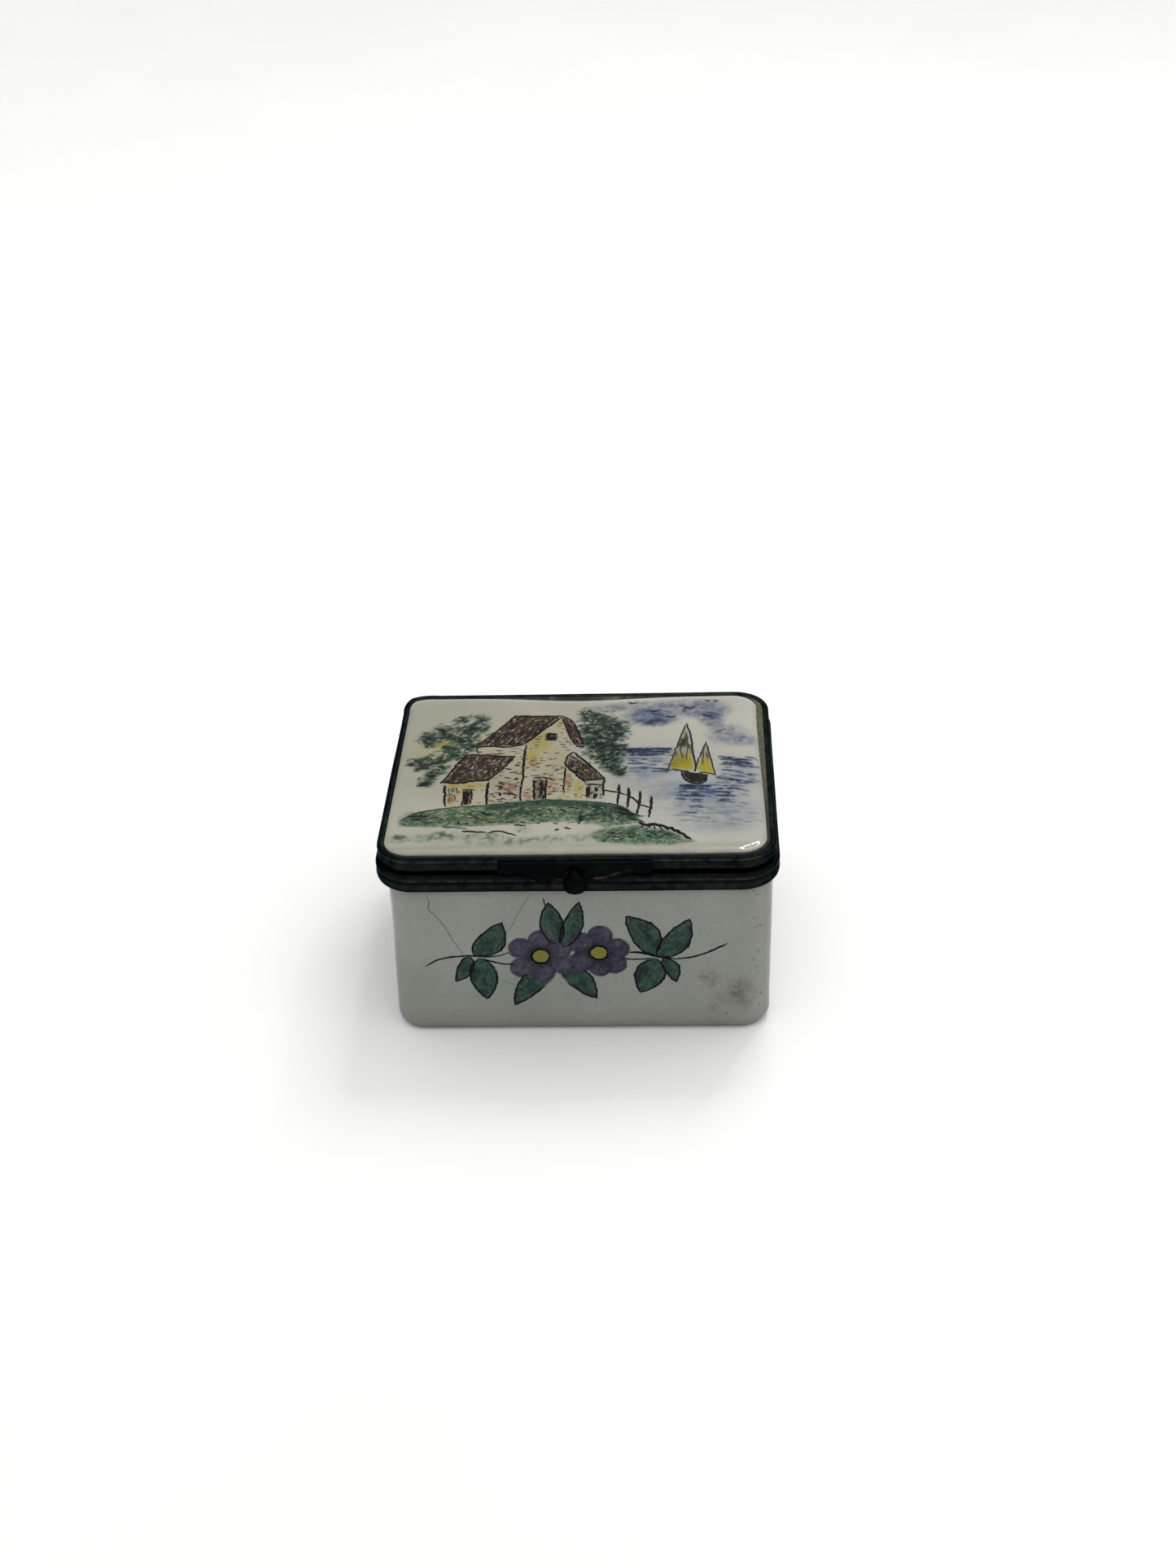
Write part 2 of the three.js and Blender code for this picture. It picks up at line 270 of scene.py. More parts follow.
# noise turned into greys or colours: stops are (place, colour), and a plain number is a grey
def noiseRamp(tree, scale, detail, *stops, roughness=0.55):
    colours = [(place, grey(colour) if isinstance(colour, (int, float)) else linearColour(colour))
               for place, colour in stops]
    return rampNode(tree, noiseNode(tree, scale, detail, roughness), colours)


def mixNode(tree, blend, factor, first, second):
    mix = addNode(tree, "ShaderNodeMix", data_type="RGBA", blend_type=blend)
    for socket, value in ((mix.inputs[0], factor), (mix.inputs[6], first), (mix.inputs[7], second)):
        if isinstance(value, bpy.types.NodeSocket):
            tree.links.new(value, socket)
        elif isinstance(value, tuple):
            socket.default_value = (*value, 1)
        else:
            socket.default_value = value
    return mix.outputs[2]


def mathNode(tree, operation, first, second):
    node = addNode(tree, "ShaderNodeMath", operation=operation)
    for socket, value in zip(node.inputs, (first, second)):
        if isinstance(value, bpy.types.NodeSocket):
            tree.links.new(value, socket)
        else:
            socket.default_value = value
    return node.outputs[0]


def attributeNode(tree, name, output):
    node = addNode(tree, "ShaderNodeAttribute", attribute_name=name)
    return node.outputs[output]


def bumpNode(tree, height, distance, strength=1.0):
    bump = addNode(tree, "ShaderNodeBump")
    bump.inputs["Distance"].default_value = distance * mm
    bump.inputs["Strength"].default_value = strength
    tree.links.new(height, bump.inputs["Height"])
    return bump.outputs["Normal"]


# painted glaze: a mottled white body, the painting over it, tiny dark pinholes and a faint ripple
def glazeMaterial(name, look):
    material, tree, shader = newMaterial(name)
    links = tree.links
    body = noiseRamp(tree, look["mottleScale"], 4, (0.3, look["shade"]), (0.68, look["white"]))
    grain = noiseRamp(tree, look["grainScale"], 2, (0.2, 1 - look["grain"]), (0.75, 1.0))
    body = mixNode(tree, "MULTIPLY", 1.0, body, grain)
    pits = noiseRamp(tree, look["pitScale"], 1, (look["pitLevel"], 0.0), (look["pitLevel"] + 0.03, 1.0),
                     roughness=0.4)
    body = mixNode(tree, "MIX", pits, body, linearColour(look["pitColour"]))
    painted = mixNode(tree, "MULTIPLY", 1.0, body, attributeNode(tree, "paint", "Color"))
    links.new(painted, shader.inputs["Base Color"])
    sheen = noiseRamp(tree, look["mottleScale"] * 2.3, 3, (0.3, look["gloss"][0]), (0.7, look["gloss"][1]))
    links.new(sheen, shader.inputs["Roughness"])
    ripple = mathNode(tree, "ADD", noiseNode(tree, look["rippleScale"], 2),
                      mathNode(tree, "MULTIPLY", pits, -0.6))
    links.new(bumpNode(tree, ripple, look["ripple"]), shader.inputs["Normal"])
    shader.inputs["Specular IOR Level"].default_value = look["shine"]
    return material


# the painter's colour, a little raised over the glaze
def inkMaterial(name, look):
    material, tree, shader = newMaterial(name)
    uneven = noiseRamp(tree, look["streakScale"], 3, (0.25, 0.7), (0.75, 1.35))
    colour = mixNode(tree, "MULTIPLY", 1.0, attributeNode(tree, "paint", "Color"), uneven)
    tree.links.new(colour, shader.inputs["Base Color"])
    gloss = noiseRamp(tree, look["streakScale"] * 0.6, 2, (0.3, look["gloss"][0]), (0.7, look["gloss"][1]))
    tree.links.new(gloss, shader.inputs["Roughness"])
    shader.inputs["Specular IOR Level"].default_value = look["shine"]
    return material


# patinated brass: dark patina in two tones, a greener bloom, and brighter metal where it is worn and where
# a highlight is painted
def brassMaterial(name, look):
    material, tree, shader = newMaterial(name)
    links = tree.links
    patina = rampNode(tree, noiseNode(tree, look["patchScale"], 5, 0.6, 0.4), [
        (0.32, linearColour(look["dark"])), (0.52, linearColour(look["middle"])),
        (0.72, linearColour(look["bloom"]))])
    fine = noiseNode(tree, look["fineScale"], 3, 0.7)
    patina = mixNode(tree, "MULTIPLY", 1.0, patina, rampNode(tree, fine, [
        (0.25, grey(0.55)), (0.75, grey(1.5))]))
    wearAndGlint = attributeNode(tree, "wearAndGlint", "Fac")
    broken = noiseRamp(tree, look["wearGlintScale"], 4, (0.36, 0.15), (0.6, 1.0), roughness=0.65)
    bareAndGlint = mathNode(tree, "MULTIPLY", wearAndGlint, broken)
    colour = mixNode(tree, "MIX", bareAndGlint, patina, linearColour(look["wornAndGlint"]))
    links.new(colour, shader.inputs["Base Color"])
    roughness = mathNode(tree, "SUBTRACT", rampNode(tree, fine, [
        (0.2, grey(look["gloss"][0])), (0.8, grey(look["gloss"][1]))]),
        mathNode(tree, "MULTIPLY", bareAndGlint, 0.12))
    links.new(roughness, shader.inputs["Roughness"])
    shader.inputs["Metallic"].default_value = look["metallic"]
    shader.inputs["Specular Tint"].default_value = look["edgeTint"]
    links.new(bumpNode(tree, fine, look["pitting"]), shader.inputs["Normal"])
    return material


# old cement: gritty and olive grey, with soot, a pale green bloom off the brass, and dirt and painted shade
# from its paint attribute
def cementMaterial(name, look):
    material, tree, shader = newMaterial(name)
    links = tree.links
    grit = noiseNode(tree, look["gritScale"], 6, 0.7)
    body = rampNode(tree, grit, [
        (0.3, linearColour(look["soot"])), (0.5, linearColour(look["body"])),
        (0.75, linearColour(look["pale"]))])
    grimeAndShade = attributeNode(tree, "paint", "Color")
    links.new(mixNode(tree, "MULTIPLY", 1.0, body, grimeAndShade), shader.inputs["Base Color"])
    shader.inputs["Roughness"].default_value = 0.9
    links.new(bumpNode(tree, grit, look["grit"]), shader.inputs["Normal"])
    return material


# a wash darkens the white paper like a thin wet colour; paper holds one colour for each point
def washOver(paper, cover, colour):
    tint = np.array(linearColour(colour))
    paper *= 1 - np.clip(cover, 0, 1)[:, None] * (1 - tint)


# 1 inside an oval and 0 outside it
def spot(x, y, centre, radiusX, radiusY=None, tilt=0, soft=0.45):
    radiusY = radiusY or radiusX
    turn = math.radians(tilt)
    along = (x - centre[0]) * math.cos(turn) + (y - centre[1]) * math.sin(turn)
    across = (y - centre[1]) * math.cos(turn) - (x - centre[0]) * math.sin(turn)
    away = np.hypot(along / radiusX, across / radiusY)
    return 1 - ease(away, 1 - soft, 1 + soft)


# how far each point is from a line of corners, and whether it lies inside it
def edgeDistance(x, y, corners, closed=True):
    away = np.full(len(x), 1e9)
    inside = np.zeros(len(x), bool)
    count = len(corners)
    for i in range(count if closed else count - 1):
        ax, ay = corners[i]
        bx, by = corners[(i + 1) % count]
        length = (bx - ax) ** 2 + (by - ay) ** 2 + 1e-9
        share = np.clip(((x - ax) * (bx - ax) + (y - ay) * (by - ay)) / length, 0, 1)
        away = np.minimum(away, np.hypot(x - ax - share * (bx - ax), y - ay - share * (by - ay)))
        crosses = (ay > y) != (by > y)
        level = ax + (y - ay) / (by - ay + 1e-12) * (bx - ax)
        inside ^= crosses & (x < level)
    return away, inside


# 1 inside a closed outline
def patch(x, y, corners, soft=0.25):
    away, inside = edgeDistance(x, y, corners)
    return ease(np.where(inside, away, -away), -soft, soft)


# 1 along an open line
def streak(x, y, route, width, soft=0.3):
    away, _ = edgeDistance(x, y, route, closed=False)
    return 1 - ease(away, width / 2 - soft / 2, width / 2 + soft / 2)


strokeShape = {
    "spacing": 0.35,  # between the cross sections of a stroke
    "flat": 0.75,  # share of the width that is flat on top
    "pile": 0.6,  # the last stroke lies this much higher than the first, as a share of the rise
    "keel": 1.8,  # how far the hidden lower edge goes down, in sinks
}


# a smooth curve through the points of a route
def smoothRoute(route):
    route = np.asarray(route, float)
    spacing = strokeShape["spacing"]
    if len(route) < 3:
        steps = max(2, int(np.hypot(*(route[1] - route[0])) / spacing))
        share = np.linspace(0, 1, steps + 1)[:, None]
        return route[0] + (route[1] - route[0]) * share
    padded = np.vstack([2 * route[0] - route[1], route, 2 * route[-1] - route[-2]])
    pieces = []
    for i in range(1, len(padded) - 2):
        a, b, c, d = padded[i - 1:i + 3]
        steps = max(2, int(np.hypot(*(c - b)) / spacing))
        t = np.linspace(0, 1, steps, endpoint=False)[:, None]
        pieces.append(0.5 * (2 * b + (c - a) * t + (2 * a - 5 * b + 4 * c - d) * t ** 2
                             + (3 * b - a - 3 * c + d) * t ** 3))
    return np.vstack([*pieces, route[-1]])


# keeps strokes as routes on a surface, and turns them into low raised ribbons at the end
class Brush:
    def __init__(self, seed, weight=1.0):
        self.rng = np.random.default_rng(seed)
        self.weight = weight
        self.strokes = []

    # width swells and thins along the stroke; lift thins its end
    def line(self, route, width, colour, wobble=0.05, lift=0.5):
        points = smoothRoute(route)
        points = points + self.rng.normal(0, wobble, points.shape)
        share = np.linspace(0, 1, len(points))
        pressure = np.minimum(1, np.sqrt(share * 7 + 0.08)) * (1 - lift * share ** 2)
        pressure = pressure * self.rng.uniform(0.8, 1.15, len(points))
        pressure[-1] *= 0.5
        self.strokes.append((points, self.weight * width * pressure, colour))

    # several strokes alike, as (route, width)
    def lines(self, routes, colour, wobble, lift):
        for route, width in routes:
            self.line(route, width, colour, wobble, lift)

    def dot(self, centre, radius, colour):
        turn = self.rng.uniform(0, math.pi)
        reach = np.array([math.cos(turn), math.sin(turn)]) * radius * 0.5
        middle = np.array(centre)
        self.line([middle - reach, middle + reach], radius * 1.8, colour, 0.02, 0.3)

    # short dashes scattered over an area; slope 0 is level
    def dashes(self, area, count, length, width, colours, slope=0.0, wobble=0.04):
        low = np.min(area, axis=0)
        high = np.max(area, axis=0)
        made = 0
        while made < count:
            centre = self.rng.uniform(low, high)
            _, inside = edgeDistance(centre[:1], centre[1:], area)
            if not inside[0]:
                continue
            half = 0.5 * self.rng.uniform(0.6, 1.3) * length
            tilt = slope + self.rng.normal(0, 0.12)
            reach = np.array([math.cos(tilt), math.sin(tilt)]) * half
            colour = colours[self.rng.integers(len(colours))]
            self.line([centre - reach, centre, centre + reach],
                      width * self.rng.uniform(0.7, 1.2), colour, wobble, 0.4)
            made += 1

    # several areas, as (area, count, length, width, colours, slope)
    def scatter(self, rows):
        for row in rows:
            self.dashes(*row)

    # rows of slanting strokes between two edges of a roof, with gaps left between them
    def hatch(self, corners, columns, rows, width, colours, gap):
        corners = [np.array(corner, float) for corner in corners]
        for column in range(columns):
            across = (column + self.rng.uniform(0.2, 0.8)) / columns
            foot = corners[0] + (corners[3] - corners[0]) * across
            head = corners[1] + (corners[2] - corners[1]) * across
            for row in range(rows):
                if self.rng.random() < gap:
                    continue
                top = 1 - (row + self.rng.uniform(0, 0.3)) / rows
                low = max(top - self.rng.uniform(0.75, 1.3) / rows, 0)
                colour = colours[self.rng.integers(len(colours))]
                self.line([foot + (head - foot) * top, foot + (head - foot) * low],
                          width * self.rng.uniform(0.7, 1.3), colour, 0.06, 0.4)

    # place turns a route into points on the glaze and the way out of it
    def mesh(self, name, place, rise, sink):
        flat = strokeShape["flat"]
        corners = 5
        points = []
        faces = []
        colours = []
        for order, (route, widths, colour) in enumerate(self.strokes):
            ahead = np.gradient(route, axis=0)
            ahead /= np.maximum(np.hypot(ahead[:, 0], ahead[:, 1]), 1e-6)[:, None]
            side = np.column_stack([-ahead[:, 1], ahead[:, 0]]) * widths[:, None] / 2
            left, out = place(route + side)
            right, _ = place(route - side)
            middle, _ = place(route)
            low = -sink * out
            high = rise * (1 + strokeShape["pile"] * order / len(self.strokes)) * out
            topLeft = flat * left + (1 - flat) * middle + high
            topRight = flat * right + (1 - flat) * middle + high
            rings = np.stack([left + low, topLeft, topRight, right + low,
                              middle + strokeShape["keel"] * low], 1)
            first = len(points)
            count = len(route)
            points.extend(rings.reshape(-1, 3))
            ribbon = bridge(count, corners, False) + endFaces(count, corners)
            faces += [tuple(first + i for i in face) for face in ribbon]
            tint = np.array(linearColour(colour))
            shade = self.rng.uniform(0.75, 1.25, (count, 1))
            colours.append(np.repeat(tint * shade, corners, axis=0))
        piece = makePiece(name, points, faces, 75)
        paintPoints(piece, "paint", np.concatenate(colours))
        return piece


print("stage 1: camera and light")

cameraView = {
    "aim": (0.970, 0, 27.776),
    "distance": 323.766,
    "elevation": 31.926,
    "yaw": 3.122,
    "roll": -2.269,
    "lens": 51.44,
}


def makeCamera(view):
    up = math.radians(view["elevation"])
    yaw = math.radians(view["yaw"])
    roll = math.radians(view["roll"])
    back = Vector((math.sin(yaw) * math.cos(up), -math.cos(yaw) * math.cos(up), math.sin(up)))
    right = Vector((math.cos(yaw), math.sin(yaw), 0))
    over = back.cross(right)
    rolledRight = right * math.cos(roll) + over * math.sin(roll)
    rolledUp = over * math.cos(roll) - right * math.sin(roll)
    data = bpy.data.cameras.new("camera")
    data.lens = view["lens"]
    data.sensor_width = 36
    data.sensor_fit = "AUTO"
    data.clip_start = 0.01
    camera = bpy.data.objects.new("camera", data)
    turn = Matrix((rolledRight, rolledUp, back)).transposed().to_4x4()
    place = (Vector(view["aim"]) + back * view["distance"]) * mm
    camera.matrix_world = Matrix.Translation(place) @ turn
    scene.collection.objects.link(camera)
    scene.camera = camera


studio = {
    # brightness of the room: height of the direction, and red, green and blue
    "room": [(0.0, (0.8342, 0.8471, 0.86)), (0.12, (0.8256, 0.8428, 0.86)), (0.5, (0.282, 0.291, 0.3))],
    "overhead": 2.0,
    "overheadSpread": 92,
    "overheadLean": (4, 9),  # degrees towards the front and towards the right
    "overheadColour": (1.0, 0.985, 0.95),
    # an oval of small lamps behind the box: the glaze shows it as a small ring
    "ovalPlace": (108, 266, 430),
    "ovalRadii": (62, 100),
    "ovalLamps": 22,
    "lampSize": 20,
    "lampPower": 0.035,
}


def addLight(name, kind, place, power):
    data = bpy.data.lights.new(name, kind)
    data.energy = power
    light = bpy.data.objects.new(name, data)
    light.location = Vector(place) * mm
    scene.collection.objects.link(light)
    return light


# a very soft overhead light, and small lamps at the back that the glaze reflects
def makeLights():
    overhead = addLight("overhead diffuser", "SUN", (0, 0, 600), studio["overhead"])
    overhead.data.angle = math.radians(studio["overheadSpread"])
    overhead.data.color = studio["overheadColour"]
    leanFront, leanRight = studio["overheadLean"]
    overhead.rotation_euler = (math.radians(leanFront), math.radians(leanRight), 0)
    middle = Vector(studio["ovalPlace"])
    facing = (Vector((0, 0, 25)) - middle).to_track_quat("-Z", "Y")
    radiusX, radiusY = studio["ovalRadii"]
    for lamp in range(studio["ovalLamps"]):
        turn = 2 * math.pi * lamp / studio["ovalLamps"]
        offset = Vector((math.cos(turn) * radiusX, math.sin(turn) * radiusY, 0))
        bulb = addLight(f"oval lamp {lamp + 1}", "AREA", middle + facing @ offset, studio["lampPower"])
        bulb.data.shape = "DISK"
        bulb.data.size = studio["lampSize"] * mm
        bulb.rotation_euler = facing.to_euler()


# the room is pale round the horizon and dimmer higher up
def makeRoom():
    world = bpy.data.worlds.new("studio")
    world.use_nodes = True
    tree = world.node_tree
    direction = addNode(tree, "ShaderNodeTexCoord").outputs["Generated"]
    split = addNode(tree, "ShaderNodeSeparateXYZ")
    tree.links.new(direction, split.inputs[0])
    tint = rampNode(tree, split.outputs["Z"], studio["room"])
    tree.links.new(tint, tree.nodes["Background"].inputs["Color"])
    scene.world = world
    scene.view_settings.view_transform = "Standard"


def makeFloor():
    look = {"size": 6000, "pale": "#f6f6f5", "shade": "#f3f3f2"}
    half = look["size"] / 2
    corners = [(-half, -half, 0), (half, -half, 0), (half, half, 0), (-half, half, 0)]
    floor = makePiece("floor", corners, [(0, 1, 2, 3)])
    material, tree, shader = newMaterial("floor paper")
    colour = noiseRamp(tree, 12, 2, (0.3, look["shade"]), (0.7, look["pale"]))
    tree.links.new(colour, shader.inputs["Base Color"])
    shader.inputs["Roughness"].default_value = 0.85
    floor.data.materials.append(material)


makeCamera(cameraView)
makeLights()
makeRoom()
makeFloor()


print("stage 2: materials")

# the box's white is set darker than the lid's: partly a greyer glaze, partly painted shade for its upright
# sides, which take less light
boxGlazeLook = {
    "white": "#8f918b", "shade": "#868881", "mottleScale": 90, "grainScale": 2600, "grain": 0.16,
    "pitScale": 900, "pitLevel": 0.8, "pitColour": "#4c4a40", "gloss": (0.2, 0.32),
    "rippleScale": 160, "ripple": 0.12, "shine": 0.16,
}
lidGlazeLook = {
    "white": "#b0aea4", "shade": "#a7a59a", "mottleScale": 70, "grainScale": 2800, "grain": 0.12,
    "pitScale": 800, "pitLevel": 0.82, "pitColour": "#56544a", "gloss": (0.05, 0.1),
    "rippleScale": 130, "ripple": 0.03, "shine": 0.34,
}
inkLook = {"streakScale": 2200, "gloss": (0.34, 0.5), "shine": 0.05}
rimLook = {
    "dark": "#04070a", "middle": "#080c0f", "bloom": "#0f1513", "wornAndGlint": "#41473f",
    "patchScale": 120, "fineScale": 2200, "wearGlintScale": 700, "gloss": (0.36, 0.52),
    "metallic": 1.0, "edgeTint": (0.4, 0.44, 0.47, 1), "pitting": 0.03,
}
innerLook = dict(rimLook, dark="#1d1a12", middle="#3a3220", bloom="#4a4630", wornAndGlint="#8a7442")
hingeLook = dict(rimLook, dark="#10130f", middle="#1e211a", bloom="#2c352b", wornAndGlint="#6e6241")
thumbLook = dict(rimLook, dark="#05080a", middle="#090d0d", bloom="#101612", wornAndGlint="#8a6c52",
                 wearGlintScale=900)
cementLook = {
    "soot": "#2b2c22", "body": "#4a4b3a", "pale": "#65664f", "gritScale": 1500, "grit": 0.12,
}

boxGlaze = glazeMaterial("box glaze", boxGlazeLook)
lidGlaze = glazeMaterial("lid glaze", lidGlazeLook)
paintInk = inkMaterial("painter's ink", inkLook)
rimBrass = brassMaterial("rim brass", rimLook)
innerBrass = brassMaterial("inner brass", innerLook)
hingeBrass = brassMaterial("hinge brass", hingeLook)
thumbBrass = brassMaterial("thumb brass", thumbLook)
oldCement = cementMaterial("old cement", cementLook)


print("stage 3: ceramic box")

boxShape = {
    "overhang": 0.98,  # rim outline to the top of the wall
    "taper": 0.3,
    "wall": 3.0,
    "floor": 3.2,
    "footRadius": 1.7,
    "cavityRadius": 2.0,
    "swell": 0.07,  # hand-made unevenness of the sides
    "frontSpacing": 0.2,  # grid of the painted front
    "leftLean": 0.55,  # the left side leans in towards the top
}


# the sides lean and bulge very slightly
def boxSwell(points):
    shape = boxShape
    x, y, z = points.T
    waves = np.sin(x * 0.11 + 1.0) * np.cos(z * 0.16 + 0.4) + 0.6 * np.sin(y * 0.13 + z * 0.1)
    outer = ease(np.maximum(np.abs(x) / 24.5, np.abs(y) / 19.7), 0.97, 1.0)
    away = shape["swell"] * waves * outer * ease(z, 0.5, 5)
    reach = np.hypot(x / 27, y / 22.3) + 1e-6
    moved = points.copy()
    moved[:, 0] += away * x / 27 / reach
    moved[:, 1] += away * y / 22.3 / reach
    moved[:, 0] += ease(-x, 22, 26) * (0.1 + shape["leftLean"] * ease(z, 2, 20)) * (1 - ease(z, 24.6, 25.1))
    return moved


def wallInset(z):
    shape = boxShape
    share = np.clip((z - shape["footRadius"]) / (wallTop - shape["footRadius"]), 0, 1)
    return shape["overhang"] + shape["taper"] * (1 - share)


def onFront(route):
    inset = wallInset(route[:, 1])
    flat = np.column_stack([route[:, 0], -(outlines["base"]["depth"] / 2 - inset), route[:, 1]])
    return boxSwell(flat), np.array([0, -1.0, 0])


def quarterTurn(start, end, steps, levelFirst):
    turn = np.linspace(0, math.pi / 2, steps + 1)
    along, rise = (np.sin(turn), 1 - np.cos(turn)) if levelFirst else (1 - np.cos(turn), np.sin(turn))
    return [(start[0] + (end[0] - start[0]) * a, start[1] + (end[1] - start[1]) * r)
            for a, r in zip(along, rise)]


def makeBox():
    shape = boxShape
    foot = shape["overhang"] + shape["taper"]
    inside = foot + shape["wall"]
    radius = shape["footRadius"]
    top = wallTop
    heights = np.arange(radius + shape["frontSpacing"], top - 0.3, shape["frontSpacing"])
    lip = shape["overhang"]
    hollow = shape["cavityRadius"]
    section = [(foot + 6.0, 0.35), (foot + 5.4, 0.3), (foot + 4.9, 0)]
    section += quarterTurn((foot + radius, 0), (foot, radius), 9, True)
    section += [(float(wallInset(z)), z) for z in heights]
    section += quarterTurn((lip, top - 0.25), (lip + 0.25, top), 3, False)
    section += quarterTurn((lip + shape["wall"] - 0.25, top), (lip + shape["wall"], top - 0.25), 3, True)
    floor = shape["floor"]
    inner = np.linspace(top - 1.2, floor + hollow + 1, 12)
    wallShare = (top - inner) / (top - floor - hollow)
    section += [(lip + shape["wall"] + (inside - lip - shape["wall"]) * s, z)
                for s, z in zip(wallShare, inner)]
    section += quarterTurn((inside, floor + hollow), (inside + hollow, floor), 7, False)
    section += [(inside + hollow + 3, floor - 0.02), (inside + hollow + 9, floor - 0.06)]
    frontSteps = int((outlines["base"]["width"] - 2 * outlines["base"]["radius"]) / shape["frontSpacing"])
    return sweepRing("box_body", outlines["base"], section, (40, 32, frontSteps, 32), 18,
                     ends=(0.35, floor - 0.08))


leafShapes = [
    # base, tip, width, bend
    ((-14.8, 13.6), (-10.6, 19.1), 3.7, -0.8),
    ((-15.3, 13.4), (-17.5, 8.9), 2.1, 0.3),
    ((-14.0, 13.0), (-13.3, 5.8), 3.8, 0.1),
    ((-3.1, 15.2), (-4.0, 22.4), 3.2, 0.1),
    ((-2.2, 14.7), (0.3, 22.4), 2.7, -0.25),
    ((-3.4, 10.9), (-9.4, 4.7), 3.3, -0.8),
    ((-2.9, 11.6), (2.2, 5.8), 3.3, 0.5),
    ((10.6, 13.3), (6.7, 19.9), 3.9, -0.7),
    ((10.9, 12.9), (15.5, 19.4), 3.5, -0.7),
    ((10.9, 12.6), (8.4, 6.8), 4.1, 0.1),
    ((11.7, 12.7), (13.5, 8.6), 2.1, 0.4),
]
flowers = [
    {"centre": (-5.4, 13.2), "colour": "#665b88", "rim": "#4c4270", "petals": [
        (-5.3, 15.9), (-8.1, 14.6), (-8.0, 11.3), (-5.2, 10.6), (-2.5, 12.0), (-2.8, 14.6)]},
    {"centre": (2.75, 13.7), "colour": "#4f4474", "rim": "#362c54", "petals": [
        (3.0, 16.6), (5.3, 14.4), (4.9, 11.9), (2.9, 11.5), (0.4, 12.2), (0.4, 15.4)]},
]
sprigColours = {
    "leaf": "#5d8b80", "leafDark": "#1f443e", "vein": "#9fb9b0", "line": "#07090a",
    "disc": "#e9df74", "discShade": "#b5a548",
}


# one side of a leaf: side 1 is its left edge, 0 its midrib and -1 its right edge
def leafSide(base, tip, width, bend, side, bulge=1.0):
    base = np.array(base)
    tip = np.array(tip)
    along = tip - base
    across = np.array([-along[1], along[0]]) / np.hypot(*along)
    share = np.linspace(0, 1, 9)
    half = width / 2 * np.sin(math.pi * share ** 0.85) ** 0.8 * bulge
    bow = bend * np.sin(math.pi * share)
    return base + along * share[:, None] + across * (side * half + bow)[:, None]


def paintLeaves(face, u, v):
    grain = 0.72 + 0.5 * cloud(u, v, 0.45, 3) - 0.2 * cloud(u, v, 1.4, 4)
    for base, tip, width, bend in leafShapes:
        rim = np.vstack([leafSide(base, tip, width, bend, 1), leafSide(base, tip, width, bend, -1)[::-1]])
        cover = patch(u, v, rim, 0.16)
        washOver(face, cover * (0.6 + 0.5 * grain), sprigColours["leaf"])
        flecks = ease(0.6 * cloud(u, v, 0.28, 9) + 0.4 * cloud(u, v, 0.8, 10), 0.4, 0.6)
        washOver(face, cover * flecks * 0.62, sprigColours["leafDark"])
        dark = patch(u, v, np.vstack([
            leafSide(base, tip, width, bend, 0.15), leafSide(base, tip, width, bend, -1, 0.96)[::-1]]),
            0.35)
        washOver(face, dark * blotches(u, v, 0.9, 5, 0.35, 0.7) * 0.75, sprigColours["leafDark"])
        for offset in (0.75, 0.45, 0.2, -0.15, -0.5):
            vein = leafSide(base, tip, width, bend, offset)[1:-1]
            amount = streak(u, v, vein, 0.12, 0.34) * cover * blotches(u, v, 0.5, 6) * 0.45
            face += amount[:, None] * (np.array(linearColour(sprigColours["vein"])) - face)


def paintFlowers(face, u, v):
    for flower in flowers:
        bloom = np.zeros(len(u))
        crease = np.zeros(len(u))
        for petal in [*flower["petals"], flower["centre"]]:
            away = np.hypot(u - petal[0], v - petal[1])
            away += 0.16 * (cloud(u, v, 0.7, 19) - 0.5)
            cover = 1 - ease(away, 1.72, 1.92)
            crease = np.maximum(np.minimum(crease, 1 - cover), cover * ease(away, 1.1, 1.8))
            bloom = np.maximum(bloom, cover)
        face[bloom > 0.5] = 1.0
        tone = 0.84 + 0.2 * cloud(u, v, 0.8, 20) + 0.3 * (cloud(u, v, 0.25, 30) - 0.5)
        washOver(face, bloom * tone, flower["colour"])
        washOver(face, crease * bloom * (0.3 + 0.6 * cloud(u, v, 0.9, 21)) * 0.75, flower["rim"])
        heart = spot(u, v, flower["centre"], 2.1, 2.1, soft=0.35)
        washOver(face, heart * 0.4, flower["rim"])
        disc = spot(u, v, flower["centre"], 1.2, 1.1, soft=0.12)[:, None]
        yellow = np.array(linearColour(sprigColours["disc"]))
        shade = np.array(linearColour(sprigColours["discShade"]))
        mottle = cloud(u, v, 0.5, 8)[:, None] * 0.6
        face += disc * (yellow * (1 - mottle) + shade * mottle - face)


def paintStains(face, u, v):
    stains = [
        ((18.3, 9.3), 0.9, 0.55), ((17.3, 9.6), 0.5, 0.5), ((18.4, 8.3), 0.4, 0.5), ((22.3, 7.9), 1.1, 0.5),
        ((22.6, 6.3), 1.5, 0.5), ((21.7, 6.9), 0.6, 0.6), ((19.3, 5.7), 0.8, 0.35), ((18.8, 4.0), 0.5, 0.5),
        ((23.0, 5.0), 1.2, 0.3),
    ]
    for centre, radius, strength in stains:
        ragged = 0.25 + 0.75 * ease(0.6 * cloud(u, v, 0.35, 40) + 0.4 * cloud(u, v, 1.1, 41), 0.35, 0.65)
        washOver(face, spot(u, v, centre, radius * 1.4, soft=0.7) * ragged * strength * 0.7, "#a3977a")
    foot = (1 - ease(v, 0.6, 4.5)) * (0.35 + 0.65 * cloud(u, v, 3.5, 42))
    washOver(face, foot * 0.3, "#b9b39c")
